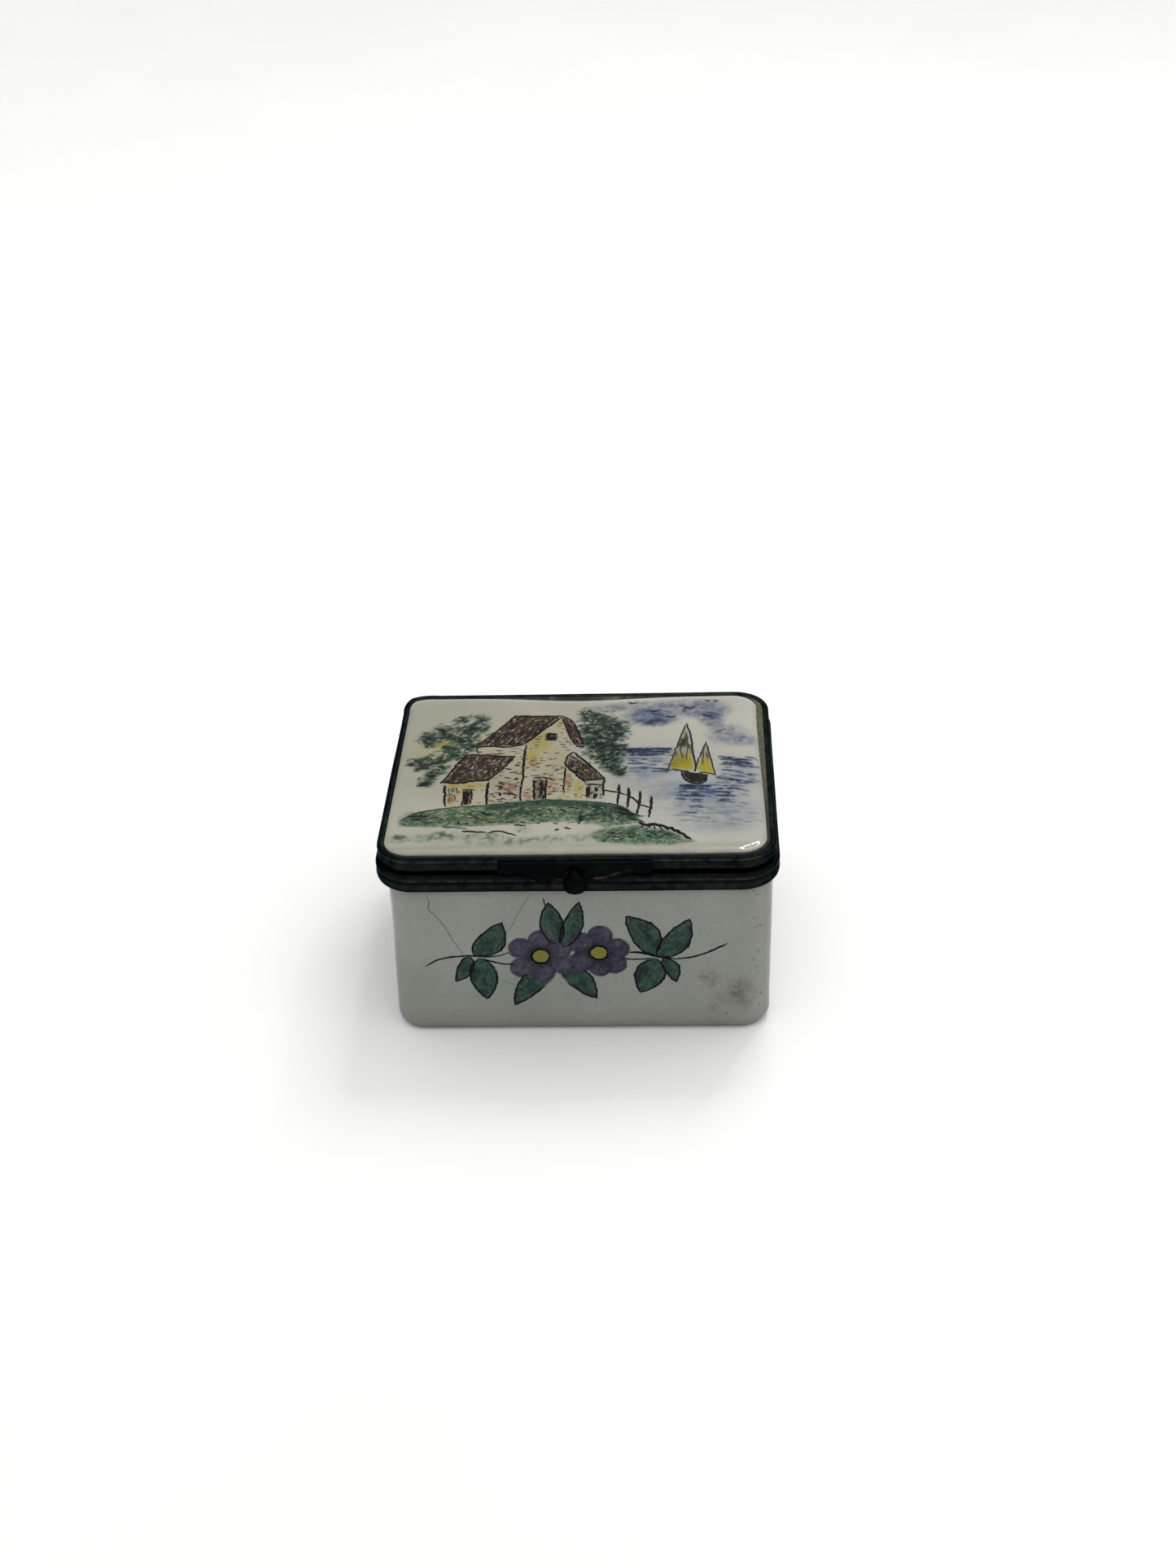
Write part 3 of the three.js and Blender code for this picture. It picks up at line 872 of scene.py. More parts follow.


# soil, specks, and painted shade under the rim, on all four sides
def paintSides(paper, x, y, z):
    soil = (1 - ease(z, 0.2, 2.2)) * 0.35
    washOver(paper, soil * (0.5 + 0.5 * cloud(x + y, z, 2.5, 43)), "#a59f86")
    corner = ease(-y, 15, 21) * ease(np.abs(x), 25.2, 26.8)
    washOver(paper, corner * (0.35 + 0.5 * cloud(y, z, 1.6, 46)) * 0.5, "#8f8674")
    # painted shade in a band just under the overhanging rim
    paintedShadeUnderRim = ease(z, 23.3, 24.9) * (0.25 + 0.5 * cloud(x + y, z, 2.0, 44))
    washOver(paper, paintedShadeUnderRim * 0.5, "#8f938a")
    rng = np.random.default_rng(45)
    # specks near the right edge of the front, then pinholes anywhere
    specks = np.column_stack([rng.uniform(23.2, 25.6, 26), rng.uniform(3, 24, 26)])
    for speckX, speckZ in specks:
        near = (y < -14) & (np.abs(x - speckX) < 1)
        washOver(paper, near * spot(x, z, (speckX, speckZ), rng.uniform(0.08, 0.16), soft=0.6) * 0.6,
                 "#5d5848")
    for _ in range(90):
        angle = rng.uniform(0, 2 * math.pi)
        centre = (27 * math.cos(angle), 22.3 * math.sin(angle), rng.uniform(1.5, 24.5))
        away = np.sqrt((x - centre[0]) ** 2 + (y - centre[1]) ** 2 + (z - centre[2]) ** 2)
        washOver(paper, (1 - ease(away, 0.08, 0.34)) * rng.uniform(0.2, 0.6), "#6b665a")


def paintBox(points):
    x, y, z = points.T
    paper = np.ones((len(points), 3))
    front = (y < -20) & (np.abs(x) < 27)
    face = np.ones((front.sum(), 3))
    for paint in (paintLeaves, paintFlowers, paintStains):
        paint(face, x[front], z[front])
    paper[front] = face
    paintSides(paper, x, y, z)
    return paper


def drawSprig():
    brush = Brush(71)
    line = sprigColours["line"]
    twigs = [
        ([(-21.7, 11.6), (-20, 12.7), (-18, 13.2), (-15.5, 13.4), (-13, 13.2), (-11.2, 13.4), (-9.8, 13.9)],
         0.34),
        ([(-13.4, 12.9), (-12.6, 12.5), (-11.0, 12.0), (-9.2, 11.8)], 0.32),
        ([(20.8, 15.3), (19.2, 14.4), (17.5, 13.5), (15.6, 12.9), (13.6, 12.6), (11, 12.9)], 0.34),
        ([(6.2, 12.7), (7.6, 12.55), (9.2, 12.6), (10.6, 12.8)], 0.28),
        ([(7.0, 13.8), (8.6, 13.7), (10.4, 13.2), (13.2, 12.6)], 0.44),
        ([(-4.3, 21.6), (-4.5, 22.4), (-4.6, 23.2)], 0.26),
    ]
    brush.lines(twigs, line, 0.025, 0.4)
    for base, tip, width, bend in leafShapes:
        hidden = 3 if base[1] < 12 and base[0] < 0 else 0  # these two leaves start under a flower
        for side in (1, -1):
            edge = leafSide(base, tip, width, bend, side)[hidden:]
            brush.line(edge, 0.3, line, 0.045, 0.15)
            brush.line(edge[3:], 0.14, line, 0.08, 0.1)
        midrib = leafSide(base, tip, width, bend, 0.05)[hidden:6]
        brush.line(midrib, 0.26, sprigColours["leafDark"], 0.05, 0.8)
    for flower in flowers:
        turn = np.linspace(0, 2 * math.pi, 15)
        ring = np.column_stack([np.cos(turn) * 1.3, np.sin(turn) * 1.2]) + flower["centre"]
        brush.line(ring, 0.4, line, 0.05, 0.1)
    piece = brush.mesh("front_sprig_lines", onFront, 0.02, 0.015)
    settle(piece, "base", paintInk)


def drawCracks():
    brush = Brush(72)
    cracks = [
        ([(-20.7, 24.2), (-20.4, 22.4), (-20.6, 21.6), (-19.6, 20.2), (-18.5, 18.5), (-17.7, 16.6),
          (-16.9, 15.0), (-16.2, 13.7)], 0.16, "#50514d"),
        ([(-6.2, 24.2), (-7.3, 22.3), (-8.4, 20.2), (-9.2, 18.4), (-10, 17.3)], 0.13, "#60615b"),
        ([(-11.8, 9.4), (-10.2, 8.6), (-8.6, 8.0), (-7.8, 7.4)], 0.1, "#74756e"),
    ]
    for route, width, colour in cracks:
        brush.line(route, width, colour, 0.035, 0.3)
    piece = brush.mesh("glaze_crack_stains", onFront, 0.006, 0.012)
    settle(piece, "base", paintInk)


boxBody = makeBox()
boxPoints = readPoints(boxBody)
paintPoints(boxBody, "paint", paintBox(boxPoints))
writePoints(boxBody, boxSwell(boxPoints))
settle(boxBody, "base", boxGlaze, ["base_box"])
drawSprig()
drawCracks()


print("stage 4: lid panel and its painting")

panelShape = {
    "inset": 1.4,  # lid outline to the panel's edge
    "edgeTop": 29.85,
    "shoulderWidth": 2.2,
    "shoulderRise": 0.45,
    "crown": 0.35,
    "spacing": 0.2,
    "backBow": 0.7,  # the back edge bows in by this in the middle
    "rightGap": 0.5,  # the panel sits short of the rim at the back of the right side
    "leftReach": 0.35,  # and close to the rim along the left
    "cornerPush": 0.2,
}


# height of the glaze over the lid before the panel's unevenness
def panelHeight(x, y):
    shape = panelShape
    halfX = outlines["lid"]["width"] / 2 - shape["inset"]
    halfY = outlines["lid"]["depth"] / 2 - shape["inset"]
    radius = outlines["lid"]["radius"] - shape["inset"]
    overX = np.abs(x) - halfX + radius
    overY = np.abs(y) - halfY + radius
    inset = radius - np.hypot(np.maximum(overX, 0), np.maximum(overY, 0)) \
        - np.minimum(np.maximum(overX, overY), 0)
    share = np.clip(inset / shape["shoulderWidth"], 0, 1)
    shoulder = shape["shoulderRise"] * np.sqrt(1 - (1 - share) ** 2)
    crown = shape["crown"] * np.clip(1 - (x / halfX) ** 2, 0, 1) * np.clip(1 - (y / halfY) ** 2, 0, 1)
    return shape["edgeTop"] + shoulder + crown


# the lid was bent squarer at its back left corner than at the others
def squareCorner(points):
    outline = outlines["lid"]
    overX = -points[:, 0] - outline["width"] / 2 + outline["radius"]
    overY = points[:, 1] - outline["depth"] / 2 + outline["radius"]
    push = panelShape["cornerPush"] * np.clip(np.minimum(overX, overY), 0, None)
    moved = points.copy()
    moved[:, 0] -= push
    moved[:, 1] += push
    return moved


# the panel is a little out of true: it bows in at the back and falls short at the right
def panelSettle(points):
    shape = panelShape
    points = squareCorner(points)
    x, y, z = points.T
    moved = points.copy()
    bow = np.exp(-(x / 9.5) ** 2) * ease(y, 12, 21)
    moved[:, 1] -= shape["backBow"] * bow
    moved[:, 2] -= 0.16 * bow * ease(z, 29.0, 29.8)
    short = ease(x, 17, 26) * ease(y, -16, 14) * (1 - 0.3 * ease(y, 15, 21))
    moved[:, 0] -= shape["rightGap"] * short + shape["leftReach"] * ease(-x, 20, 26)
    waves = 0.03 * np.sin(x * 0.31 + 0.5) * np.sin(y * 0.27 + 1.1)
    moved[:, 2] += waves * ease(z, 29.0, 29.8)
    return moved


def onLid(route):
    x, y = route.T
    flat = np.column_stack([x, y, panelHeight(x, y)])
    return panelSettle(flat), np.array([0, 0, 1.0])


def makePanel():
    shape = panelShape
    outline = outlines["lid"]
    radius = outline["radius"] - shape["inset"]
    innerX = outline["width"] - 2 * outline["radius"]
    innerY = outline["depth"] - 2 * outline["radius"]
    stepsX = round(innerX / shape["spacing"])
    stepsY = round(innerY / shape["spacing"])
    sides = (stepsX, stepsY, stepsX, stepsY)
    cornerSteps = 14
    turn = np.linspace(0, math.pi / 2, 11)
    rolled = shape["inset"] + shape["shoulderWidth"] * (1 - np.cos(turn))
    flatter = np.linspace(rolled[-1], shape["inset"] + radius, 8)[1:]
    loops = []
    recess = 3.86
    ceiling = panelLow[2] + 0.5
    under = [(20, ceiling + 0.02), (12, ceiling + 0.02), (7, ceiling + 0.01), (recess + 0.5, ceiling),
             (recess + 0.12, ceiling - 0.06), (recess, ceiling - 0.2), (recess - 0.02, panelLow[2] + 0.06),
             (recess - 0.1, panelLow[2]), (shape["inset"] + 0.15, panelLow[2]),
             (shape["inset"], panelLow[2] + 0.15), (shape["inset"], shape["edgeTop"] - 0.3)]
    for inset, z in under:
        flat = loopPoints(outline, inset, sides, cornerSteps)
        loops.append(np.column_stack([flat, np.full(len(flat), z)]))
    for inset in np.concatenate([rolled, flatter]):
        flat = loopPoints(outline, inset, sides, cornerSteps, sharp=True)
        loops.append(np.column_stack([flat, panelHeight(*flat.T)]))
    count = len(loops[0])
    faces = bridge(len(loops), count, False)
    points = np.concatenate(loops)
    middle = len(points)
    points = np.vstack([points, [0, 0, ceiling + 0.02]])
    faces += [(middle, (step + 1) % count, step) for step in range(count)]
    first = len(points)
    gridX = np.linspace(-innerX / 2, innerX / 2, stepsX + 1)
    gridY = np.linspace(-innerY / 2, innerY / 2, stepsY + 1)
    meshX, meshY = np.meshgrid(gridX, gridY)
    field = np.column_stack([meshX.ravel(), meshY.ravel(), panelHeight(meshX.ravel(), meshY.ravel())])
    points = np.vstack([points, field])
    for row in range(stepsY):
        for column in range(stepsX):
            a = first + row * (stepsX + 1) + column
            faces.append((a, a + 1, a + stepsX + 2, a + stepsX + 1))
    return makePiece("painted_panel", points, faces, 50, weld=True)


lidColours = {
    "ink": "#0d0b09", "roof": "#2e241c", "roofDark": "#17110d", "roofRed": "#3e2b25", "roofWash": "#8a7a68",
    "wallYellow": "#f5eab0", "wallPink": "#d9a595", "leaf": "#63917b", "leafDark": "#24503f",
    "grass": "#7c9f86", "grassDark": "#46705c", "grassPale": "#c0d3bf", "grassYellow": "#cfd09a",
    "sea": "#6f8fc0", "seaDark": "#2c4a82", "haze": "#b3c4df", "sky": "#8497c2", "skyDark": "#566ca0",
    "sail": "#ecdc52", "sailDark": "#4b4f3d", "hull": "#1c1411",
    # strokes take one of these at random
    "chalk": ["#85796a", "#a1968a", "#6b5f54", "#7a6258"],
    "stone": ["#3b372e", "#514a3d", "#6b5b4a", "#2b2822"],
    "leafTones": ["#1c2e27", "#2a3f35", "#384f42"],
    "tuftTones": ["#26382e", "#33483a", "#1d2d26", "#41553f"],
    "tuftPale": ["#869281", "#929c89", "#75857a"],
}
mainRoof = [(-15.4, 6.0), (-10.3, 15.3), (-3.4, 15.3), (-8.6, 6.6)]
gableStrip = [(-3.4, 15.2), (-1.6, 13.0), (-0.4, 9.2), (0.2, 6.3), (-0.9, 6.2), (-2.1, 9.2), (-3.3, 13.9)]
gableWall = [(-8.2, 6.6), (-3.5, 13.9), (-2.2, 9.0), (-1.4, 5.8), (-2.1, 0.0), (-2.2, -8.8), (-8.3, -8.9)]
wingRoof = [(-19.8, -3.6), (-16.8, 3.8), (-9.6, 3.3), (-13.0, -3.2)]
wingWall = [(-19.2, -4.0), (-13.0, -3.6), (-13.0, -9.8), (-18.8, -9.9)]
sideWall = [(-12.9, -3.4), (-9.4, 3.2), (-8.3, 3.6), (-8.3, -9.0), (-12.9, -9.5)]
stripWall = [(-15.2, 5.5), (-8.5, 5.7), (-8.5, 3.5), (-15.2, 4.0)]
leanRoof = [(-2.1, 0.3), (-1.6, 3.6), (1.2, 0.6), (3.4, -3.2), (0.9, -3.9)]
leanWall = [(-2.2, -1.3), (1.0, -4.4), (1.0, -8.4), (-2.2, -8.4)]
endWall = [(1.0, -3.4), (3.6, -3.4), (3.7, -8.3), (1.0, -8.6)]
moundTop = [
    (-24.6, -13.4), (-22.5, -11.4), (-18, -10.2), (-13, -9.8), (-8, -9.2), (-4, -8.7), (0, -9.0), (3, -9.5),
    (5.6, -10.2), (8, -12.6), (9.8, -14.7), (14, -17.4), (16.4, -19.0),
]
leftTree = [
    # centre of a bunch of leaves, its spread, how many
    (-15.4, 14.3, 0.9, 9), (-15.8, 11.6, 1.1, 14), (-18.3, 14.3, 0.7, 6), (-18.0, 11.6, 1.0, 10),
    (-21.0, 11.5, 0.8, 7), (-22.8, 9.2, 0.8, 8), (-20.2, 9.3, 1.1, 11), (-17.3, 8.6, 1.3, 18),
    (-22.4, 7.4, 0.7, 6), (-16.8, 6.2, 0.9, 9), (-19.0, 5.4, 1.1, 9), (-17.8, 3.9, 0.9, 7),
    (-23.8, 2.4, 0.7, 6), (-21.6, 2.4, 1.1, 11), (-19.6, 3.2, 0.8, 6), (-22.8, 0.8, 0.6, 5),
    (-20.4, 0.2, 1.0, 8), (-21.2, -1.6, 0.7, 5), (-21.9, -3.4, 0.7, 6),
]
rightTree = [
    (0.4, 16.2, 0.9, 7), (2.6, 15.0, 1.0, 8), (1.2, 13.6, 1.3, 14), (3.6, 12.4, 1.3, 16),
    (5.4, 12.0, 0.9, 8), (0.6, 10.6, 1.0, 10), (2.8, 9.4, 1.4, 18), (5.0, 9.2, 1.0, 12),
    (1.2, 7.2, 1.3, 16), (4.0, 6.4, 1.4, 18), (5.4, 5.2, 0.8, 8), (2.4, 4.4, 1.2, 14),
    (4.6, 3.0, 1.2, 14), (3.6, 1.0, 1.1, 11), (5.2, -0.6, 0.9, 8), (5.6, -1.9, 0.6, 4),
]


def paintTree(paper, x, y, bunches, seed, reach, strength):
    rng = np.random.default_rng(seed)
    near = (x > reach[0]) & (x < reach[1])
    u = x[near]
    v = y[near]
    part = paper[near]
    for centreX, centreY, spread, count in bunches:
        loose = spot(u, v, (centreX, centreY), spread * 1.7, soft=0.45)
        washOver(part, loose * blotches(u, v, 0.8, seed, 0.3, 0.55) * 0.7 * strength, lidColours["leaf"])
        for _ in range(round(count * 3)):
            centre = rng.normal((centreX, centreY), spread * 0.8)
            radius = rng.uniform(0.14, 0.34)
            dab = spot(u, v, centre, radius * 2.2, radius, rng.uniform(-50, 80), 0.25)
            tone = lidColours["leafDark"] if rng.random() < 0.62 else lidColours["leaf"]
            washOver(part, dab * rng.uniform(0.45, 0.9) * strength, tone)
    paper[near] = part


def paintBuildings(paper, x, y):
    colours = lidColours
    grain = 0.55 + 0.6 * cloud(x, y, 0.5, 11)
    for roof in (mainRoof, wingRoof, leanRoof):
        washOver(paper, patch(x, y, roof, 0.2) * (0.4 + 0.7 * grain), colours["roofWash"])
        washOver(paper, patch(x, y, roof, 0.3) * blotches(x, y, 0.45, 17, 0.42, 0.62) * 0.8,
                 colours["roof"])
        washOver(paper, patch(x, y, roof, 0.4) * blotches(x, y, 1.3, 12, 0.5, 0.85) * 0.4,
                 colours["roofRed"])
    washOver(paper, patch(x, y, gableStrip, 0.2) * (0.5 + 0.6 * grain), "#75503f")
    openings = [
        [(-5.5, 9.7), (-3.8, 9.6), (-3.8, 7.6), (-5.5, 7.7)],
        [(-6.3, -3.2), (-4.8, -3.2), (-4.8, -8.6), (-6.3, -8.4)],
        [(-16.4, -5.6), (-15.3, -5.6), (-15.3, -9.5), (-16.4, -9.6)],
        [(1.1, -4.9), (1.7, -4.9), (1.7, -8.1), (1.1, -8.2)],
    ]
    for opening, amount in zip(openings, (0.95, 0.75, 0.85, 0.8)):
        washOver(paper, patch(x, y, opening, 0.2) * amount * (0.7 + 0.4 * cloud(x, y, 0.4, 16)), "#4b3b31")
    yellow = blotches(x, y, 2.2, 13, 0.25, 0.8)
    for wall, amount in ((gableWall, 0.5), (wingWall, 0.9), (sideWall, 0.35), (leanWall, 0.6),
                         (stripWall, 0.35)):
        washOver(paper, patch(x, y, wall, 0.25) * (0.35 + 0.65 * yellow) * amount, colours["wallYellow"])
    bright = [
        ((-6.4, 7.6), 1.8, 2.4), ((-7.2, 3.0), 0.9, 2.0), ((-14.6, -4.4), 1.6, 0.6),
        ((-0.2, -5.6), 0.6, 2.2), ((-3.6, 12.4), 0.5, 1.2), ((-18.3, -4.4), 1.0, 0.5),
    ]
    for centre, radiusX, radiusY in bright:
        washOver(paper, spot(x, y, centre, radiusX, radiusY, soft=0.6) * 0.8, "#f3e88f")
    pink = [
        ((-6.9, 1.5), 0.6, 1.6), ((-1.6, -4.0), 0.5, 2.4), ((-10.3, -5.5), 1.4, 2.0),
        ((-7.2, -6.8), 0.7, 1.5), ((-18.2, -8.0), 0.6, 1.0), ((-4.0, -4.2), 0.7, 2.0),
    ]
    for centre, radiusX, radiusY in pink:
        cover = spot(x, y, centre, radiusX, radiusY, soft=0.6)
        washOver(paper, cover * (0.25 + 0.75 * blotches(x, y, 0.5, 14)), colours["wallPink"])
    shade = [(sideWall, 0.2), (endWall, 0.45)]
    for wall, amount in shade:
        washOver(paper, patch(x, y, wall, 0.3) * (0.3 + 0.7 * cloud(x, y, 0.8, 15)) * amount, "#8c8a78")


def paintMound(paper, x, y):
    colours = lidColours
    grain = 0.4 + 0.8 * blotches(x, y, 0.4, 21, 0.3, 0.7) + 0.3 * (cloud(x, y, 2.6, 22) - 0.5)
    upper = moundTop[:10] + [
        (9.2, -14.4), (4, -15.6), (0.8, -14.0), (-3, -14.2), (-8, -14.5), (-14, -15.0), (-21, -15.0),
        (-24.4, -14.7),
    ]
    washOver(paper, patch(x, y, upper, 0.35) * (0.35 + grain * 0.7), colours["grass"])
    right = [
        (1.8, -17.4), (3.6, -15.9), (8.8, -15.0), (12, -16.2), (14.2, -17.5), (16.4, -19.1), (13, -19.8),
        (8, -19.7), (3, -19.0),
    ]
    washOver(paper, patch(x, y, right, 0.4) * (0.3 + grain * 0.75), colours["grass"])
    ridge = [(-12.5, -10.2), (-8, -9.6), (-4, -9.3), (0, -9.7), (3, -10.2), (5.6, -11.0), (7.6, -13.0)]
    washOver(paper, streak(x, y, ridge, 1.6, 1.1) * (0.5 + 0.6 * cloud(x, y, 0.7, 23)),
             colours["grassDark"])
    dark = [
        ((2.6, -11.6), 3.2, 1.4), ((-9.0, -11.4), 3.0, 1.2), ((-22.2, -12.6), 2.0, 1.4),
        ((1.0, -13.4), 1.0, 1.4), ((5.4, -13.4), 2.4, 1.2), ((11.5, -17.4), 2.4, 1.0),
        ((-18.4, -17.0), 1.6, 0.8), ((-24.3, -17.4), 0.7, 0.6), ((7.0, -18.2), 2.0, 0.7),
    ]
    for centre, radiusX, radiusY in dark:
        cover = spot(x, y, centre, radiusX, radiusY, soft=0.7)
        washOver(paper, cover * blotches(x, y, 0.5, 24, 0.3, 0.6) * 0.9, colours["grassDark"])
    sunny = [((-17, -12.6), 3.4, 1.8), ((-11.6, -13.2), 3.0, 1.2), ((-5, -12.0), 2.4, 1.2)]
    for centre, radiusX, radiusY in sunny:
        washOver(paper, spot(x, y, centre, radiusX, radiusY, soft=0.7) * 0.6, colours["grassYellow"])
    fringe = [
        ((-19.5, -17.8), 4.0, 1.0), ((-10, -18.7), 5.0, 0.9), ((-2, -18.3), 4.5, 0.9),
        ((-7.5, -15.9), 1.0, 0.9), ((6, -17.6), 4.6, 1.6), ((-24.2, -17.8), 1.2, 1.0),
        ((-13, -17.4), 3, 0.7),
    ]
    for centre, radiusX, radiusY in fringe:
        cover = spot(x, y, centre, radiusX, radiusY, soft=0.6)
        washOver(paper, cover * (0.2 + 0.9 * cloud(x, y, 0.7, 25)) * 0.75, colours["grassPale"])
        washOver(paper, cover * blotches(x, y, 0.5, 26, 0.5, 0.75) * 0.7, colours["grass"])


def paintSea(paper, x, y):
    colours = lidColours
    wash = [
        ((17, -6), 10.5, 9.5, 0.22), ((9.5, 3.2), 3.6, 1.8, 0.5), ((17, -7), 5.2, 3.0, 0.55),
        ((16.5, -11), 3.6, 2.2, 0.3), ((23, -2.2), 2.6, 4.0, 0.4), ((22.6, -12.0), 3.0, 3.4, 0.4),
        ((12.5, -6.4), 2.4, 2.0, 0.28), ((9.5, -1.4), 3.2, 1.4, 0.45), ((10.5, 0.5), 5.0, 6.5, 0.25),
        ((7.5, -3.6), 3.0, 2.4, 0.22), ((18.6, -15.0), 4.0, 1.8, 0.34),
    ]
    bands = 0.55 + 0.6 * cloud(x * 0.25, y, 0.5, 30)
    for centre, radiusX, radiusY, amount in wash:
        cover = spot(x, y, centre, radiusX, radiusY, soft=0.8)
        washOver(paper, cover * amount * 1.7 * bands * (0.5 + 0.7 * cloud(x, y, 1.2, 31)), colours["haze"])
    # level strokes: start, end, width, strength
    dashes = [
        ((6.4, 4.9), (12.8, 5.0), 0.7, 0.85), ((6.6, 4.2), (12.4, 4.2), 0.6, 0.7),
        ((7.2, 3.4), (10.8, 3.5), 0.4, 0.5), ((7.0, 2.2), (9.4, 2.1), 0.32, 0.85),
        ((7.0, 1.7), (8.0, 1.6), 0.25, 0.8), ((6.9, 0.9), (9.4, 0.8), 0.32, 0.85),
        ((7.2, -0.4), (9.2, -0.4), 0.5, 0.5), ((9.2, -0.3), (12.6, -0.7), 0.4, 0.85),
        ((10.4, -1.2), (12.4, -1.4), 0.4, 0.6), ((20.0, 2.9), (22.4, 2.4), 0.4, 0.65),
        ((20.6, 2.2), (24.8, 0.9), 0.7, 0.7), ((20.8, 1.3), (24.2, 0.4), 0.4, 0.75),
        ((20.6, -0.8), (23.4, -1.6), 0.4, 0.8), ((19.6, -2.8), (22.8, -3.6), 0.6, 0.6),
        ((22.0, -3.4), (24.6, -4.2), 0.4, 0.5), ((14.5, -5.1), (18.4, -5.2), 0.65, 0.95),
        ((15.0, -5.9), (18.0, -5.9), 0.45, 0.75), ((14.2, -6.8), (15.4, -6.8), 0.4, 0.7),
        ((16.0, -6.9), (18.6, -6.8), 0.4, 0.7), ((15.2, -7.9), (17.2, -7.9), 0.45, 0.7),
        ((19.0, -6.7), (21.2, -6.9), 0.5, 0.8), ((19.3, -7.6), (21.8, -7.7), 0.5, 0.85),
        ((19.8, -8.9), (21.6, -9.3), 0.36, 0.95), ((16.0, -9.2), (17.0, -9.2), 0.4, 0.6),
        ((15.8, -10.6), (17.4, -10.7), 0.34, 0.95), ((15.6, -12.1), (16.6, -12.2), 0.32, 0.8),
        ((22.6, -6.0), (24.0, -6.4), 0.3, 0.5), ((23.0, -7.3), (24.0, -7.6), 0.28, 0.6),
        ((22.8, -9.5), (23.8, -9.8), 0.28, 0.6), ((14.2, -8.9), (15.0, -8.9), 0.3, 0.4),
        ((17.4, -12.2), (18.4, -12.3), 0.3, 0.3), ((19.6, -12.0), (21.0, -12.4), 0.4, 0.25),
        ((21.6, -4.9), (23.4, -5.2), 0.3, 0.4),
    ]
    # and more of them at random: two corners of an area, count, strength
    scattered = [
        ((6.6, 2.8), (12.6, 5.1), 36, 0.55), ((20.0, -0.2), (24.8, 2.8), 34, 0.55),
        ((13.6, -8.8), (21.6, -4.9), 46, 0.55), ((19.0, -4.4), (24.6, -0.6), 24, 0.45),
        ((13.0, -15.0), (24.4, -9.0), 36, 0.28), ((7.0, -1.8), (12.6, 2.4), 22, 0.35),
    ]
    rng = np.random.default_rng(38)
    for low, high, count, amount in scattered:
        for _ in range(count):
            start = rng.uniform(low, high)
            length = rng.uniform(0.5, 1.8)
            dashes.append((tuple(start), (start[0] + length, start[1] - 0.04 * length), 0.3, amount))
    broken = 0.55 + 0.7 * cloud(x, y, 0.4, 32)
    for start, end, width, amount in dashes:
        middle = (np.array(start) + end) / 2 + (0, 0.08)
        near = np.abs(y - start[1]) < 1.6
        cover = streak(x[near], y[near], [start, tuple(middle), end], width, 0.26) * amount
        part = paper[near]
        washOver(part, cover * broken[near] * 1.3, colours["sea"])
        washOver(part, cover * blotches(x[near], y[near], 0.5, 33, 0.32, 0.6), colours["seaDark"])
        paper[near] = part


def paintSky(paper, x, y):
    sky = [
        ((9.6, 14.6), 2.9, 2.2, 0.95), ((10.6, 12.6), 1.6, 1.0, 0.6), ((7.6, 18.2), 3.4, 1.3, 0.4),
        ((12.8, 17.0), 2.4, 1.6, 0.5), ((17.6, 16.4), 3.4, 2.0, 0.85), ((19.2, 13.4), 1.6, 1.6, 0.7),
        ((21.8, 9.0), 2.8, 2.4, 0.45), ((24.4, 7.4), 1.4, 1.4, 0.4), ((3.4, 17.6), 2.6, 1.2, 0.35),
        ((15.6, 18.8), 4.4, 1.2, 0.35), ((20.6, 10.6), 1.6, 1.2, 0.35), ((13, 13.6), 1.4, 1.2, 0.35),
    ]
    for centre, radiusX, radiusY, amount in sky:
        cover = spot(x, y, centre, radiusX * 1.15, radiusY * 1.15, soft=0.5)
        washOver(paper, cover * amount * (0.5 + 0.9 * cloud(x, y, 0.8, 34)), lidColours["sky"])
        washOver(paper, cover * amount * blotches(x, y, 0.6, 35, 0.4, 0.65) * 0.65, lidColours["skyDark"])


def paintBoat(paper, x, y):
    colours = lidColours
    mainSail = [(15.2, 12.2), (12.7, -0.6), (16.3, -0.9), (15.9, 5.0)]
    smallSail = [(18.0, 6.6), (16.7, -0.9), (19.3, -2.2)]
    hull = [(14.5, -1.3), (16.4, -1.7), (18.2, -2.0), (18.0, -3.6), (17.0, -4.5), (15.6, -4.1)]
    for sail, low, high in ((mainSail, 0.5, 6.0), (smallSail, 0.0, 3.6)):
        cover = patch(x, y, sail, 0.15)
        lower = 1 - ease(y, low + 1.0, high)
        washOver(paper, cover * (0.3 + 0.7 * lower), colours["sail"])
        upper = ease(y, low, high) * (1 - 0.5 * ease(y, high + 1, high + 4))
        streaks = blotches(x, y * 0.25, 0.4, 36, 0.25, 0.7)
        washOver(paper, cover * upper * (0.3 + 0.75 * streaks), colours["sailDark"])
    washOver(paper, spot(x, y, (14.4, 1.3), 1.2, 0.9, soft=0.5) * patch(x, y, mainSail, 0.15) * 0.5,
             "#e6d23c")
    washOver(paper, patch(x, y, hull, 0.2) * (0.8 + 0.4 * cloud(x, y, 0.5, 37)), colours["hull"])


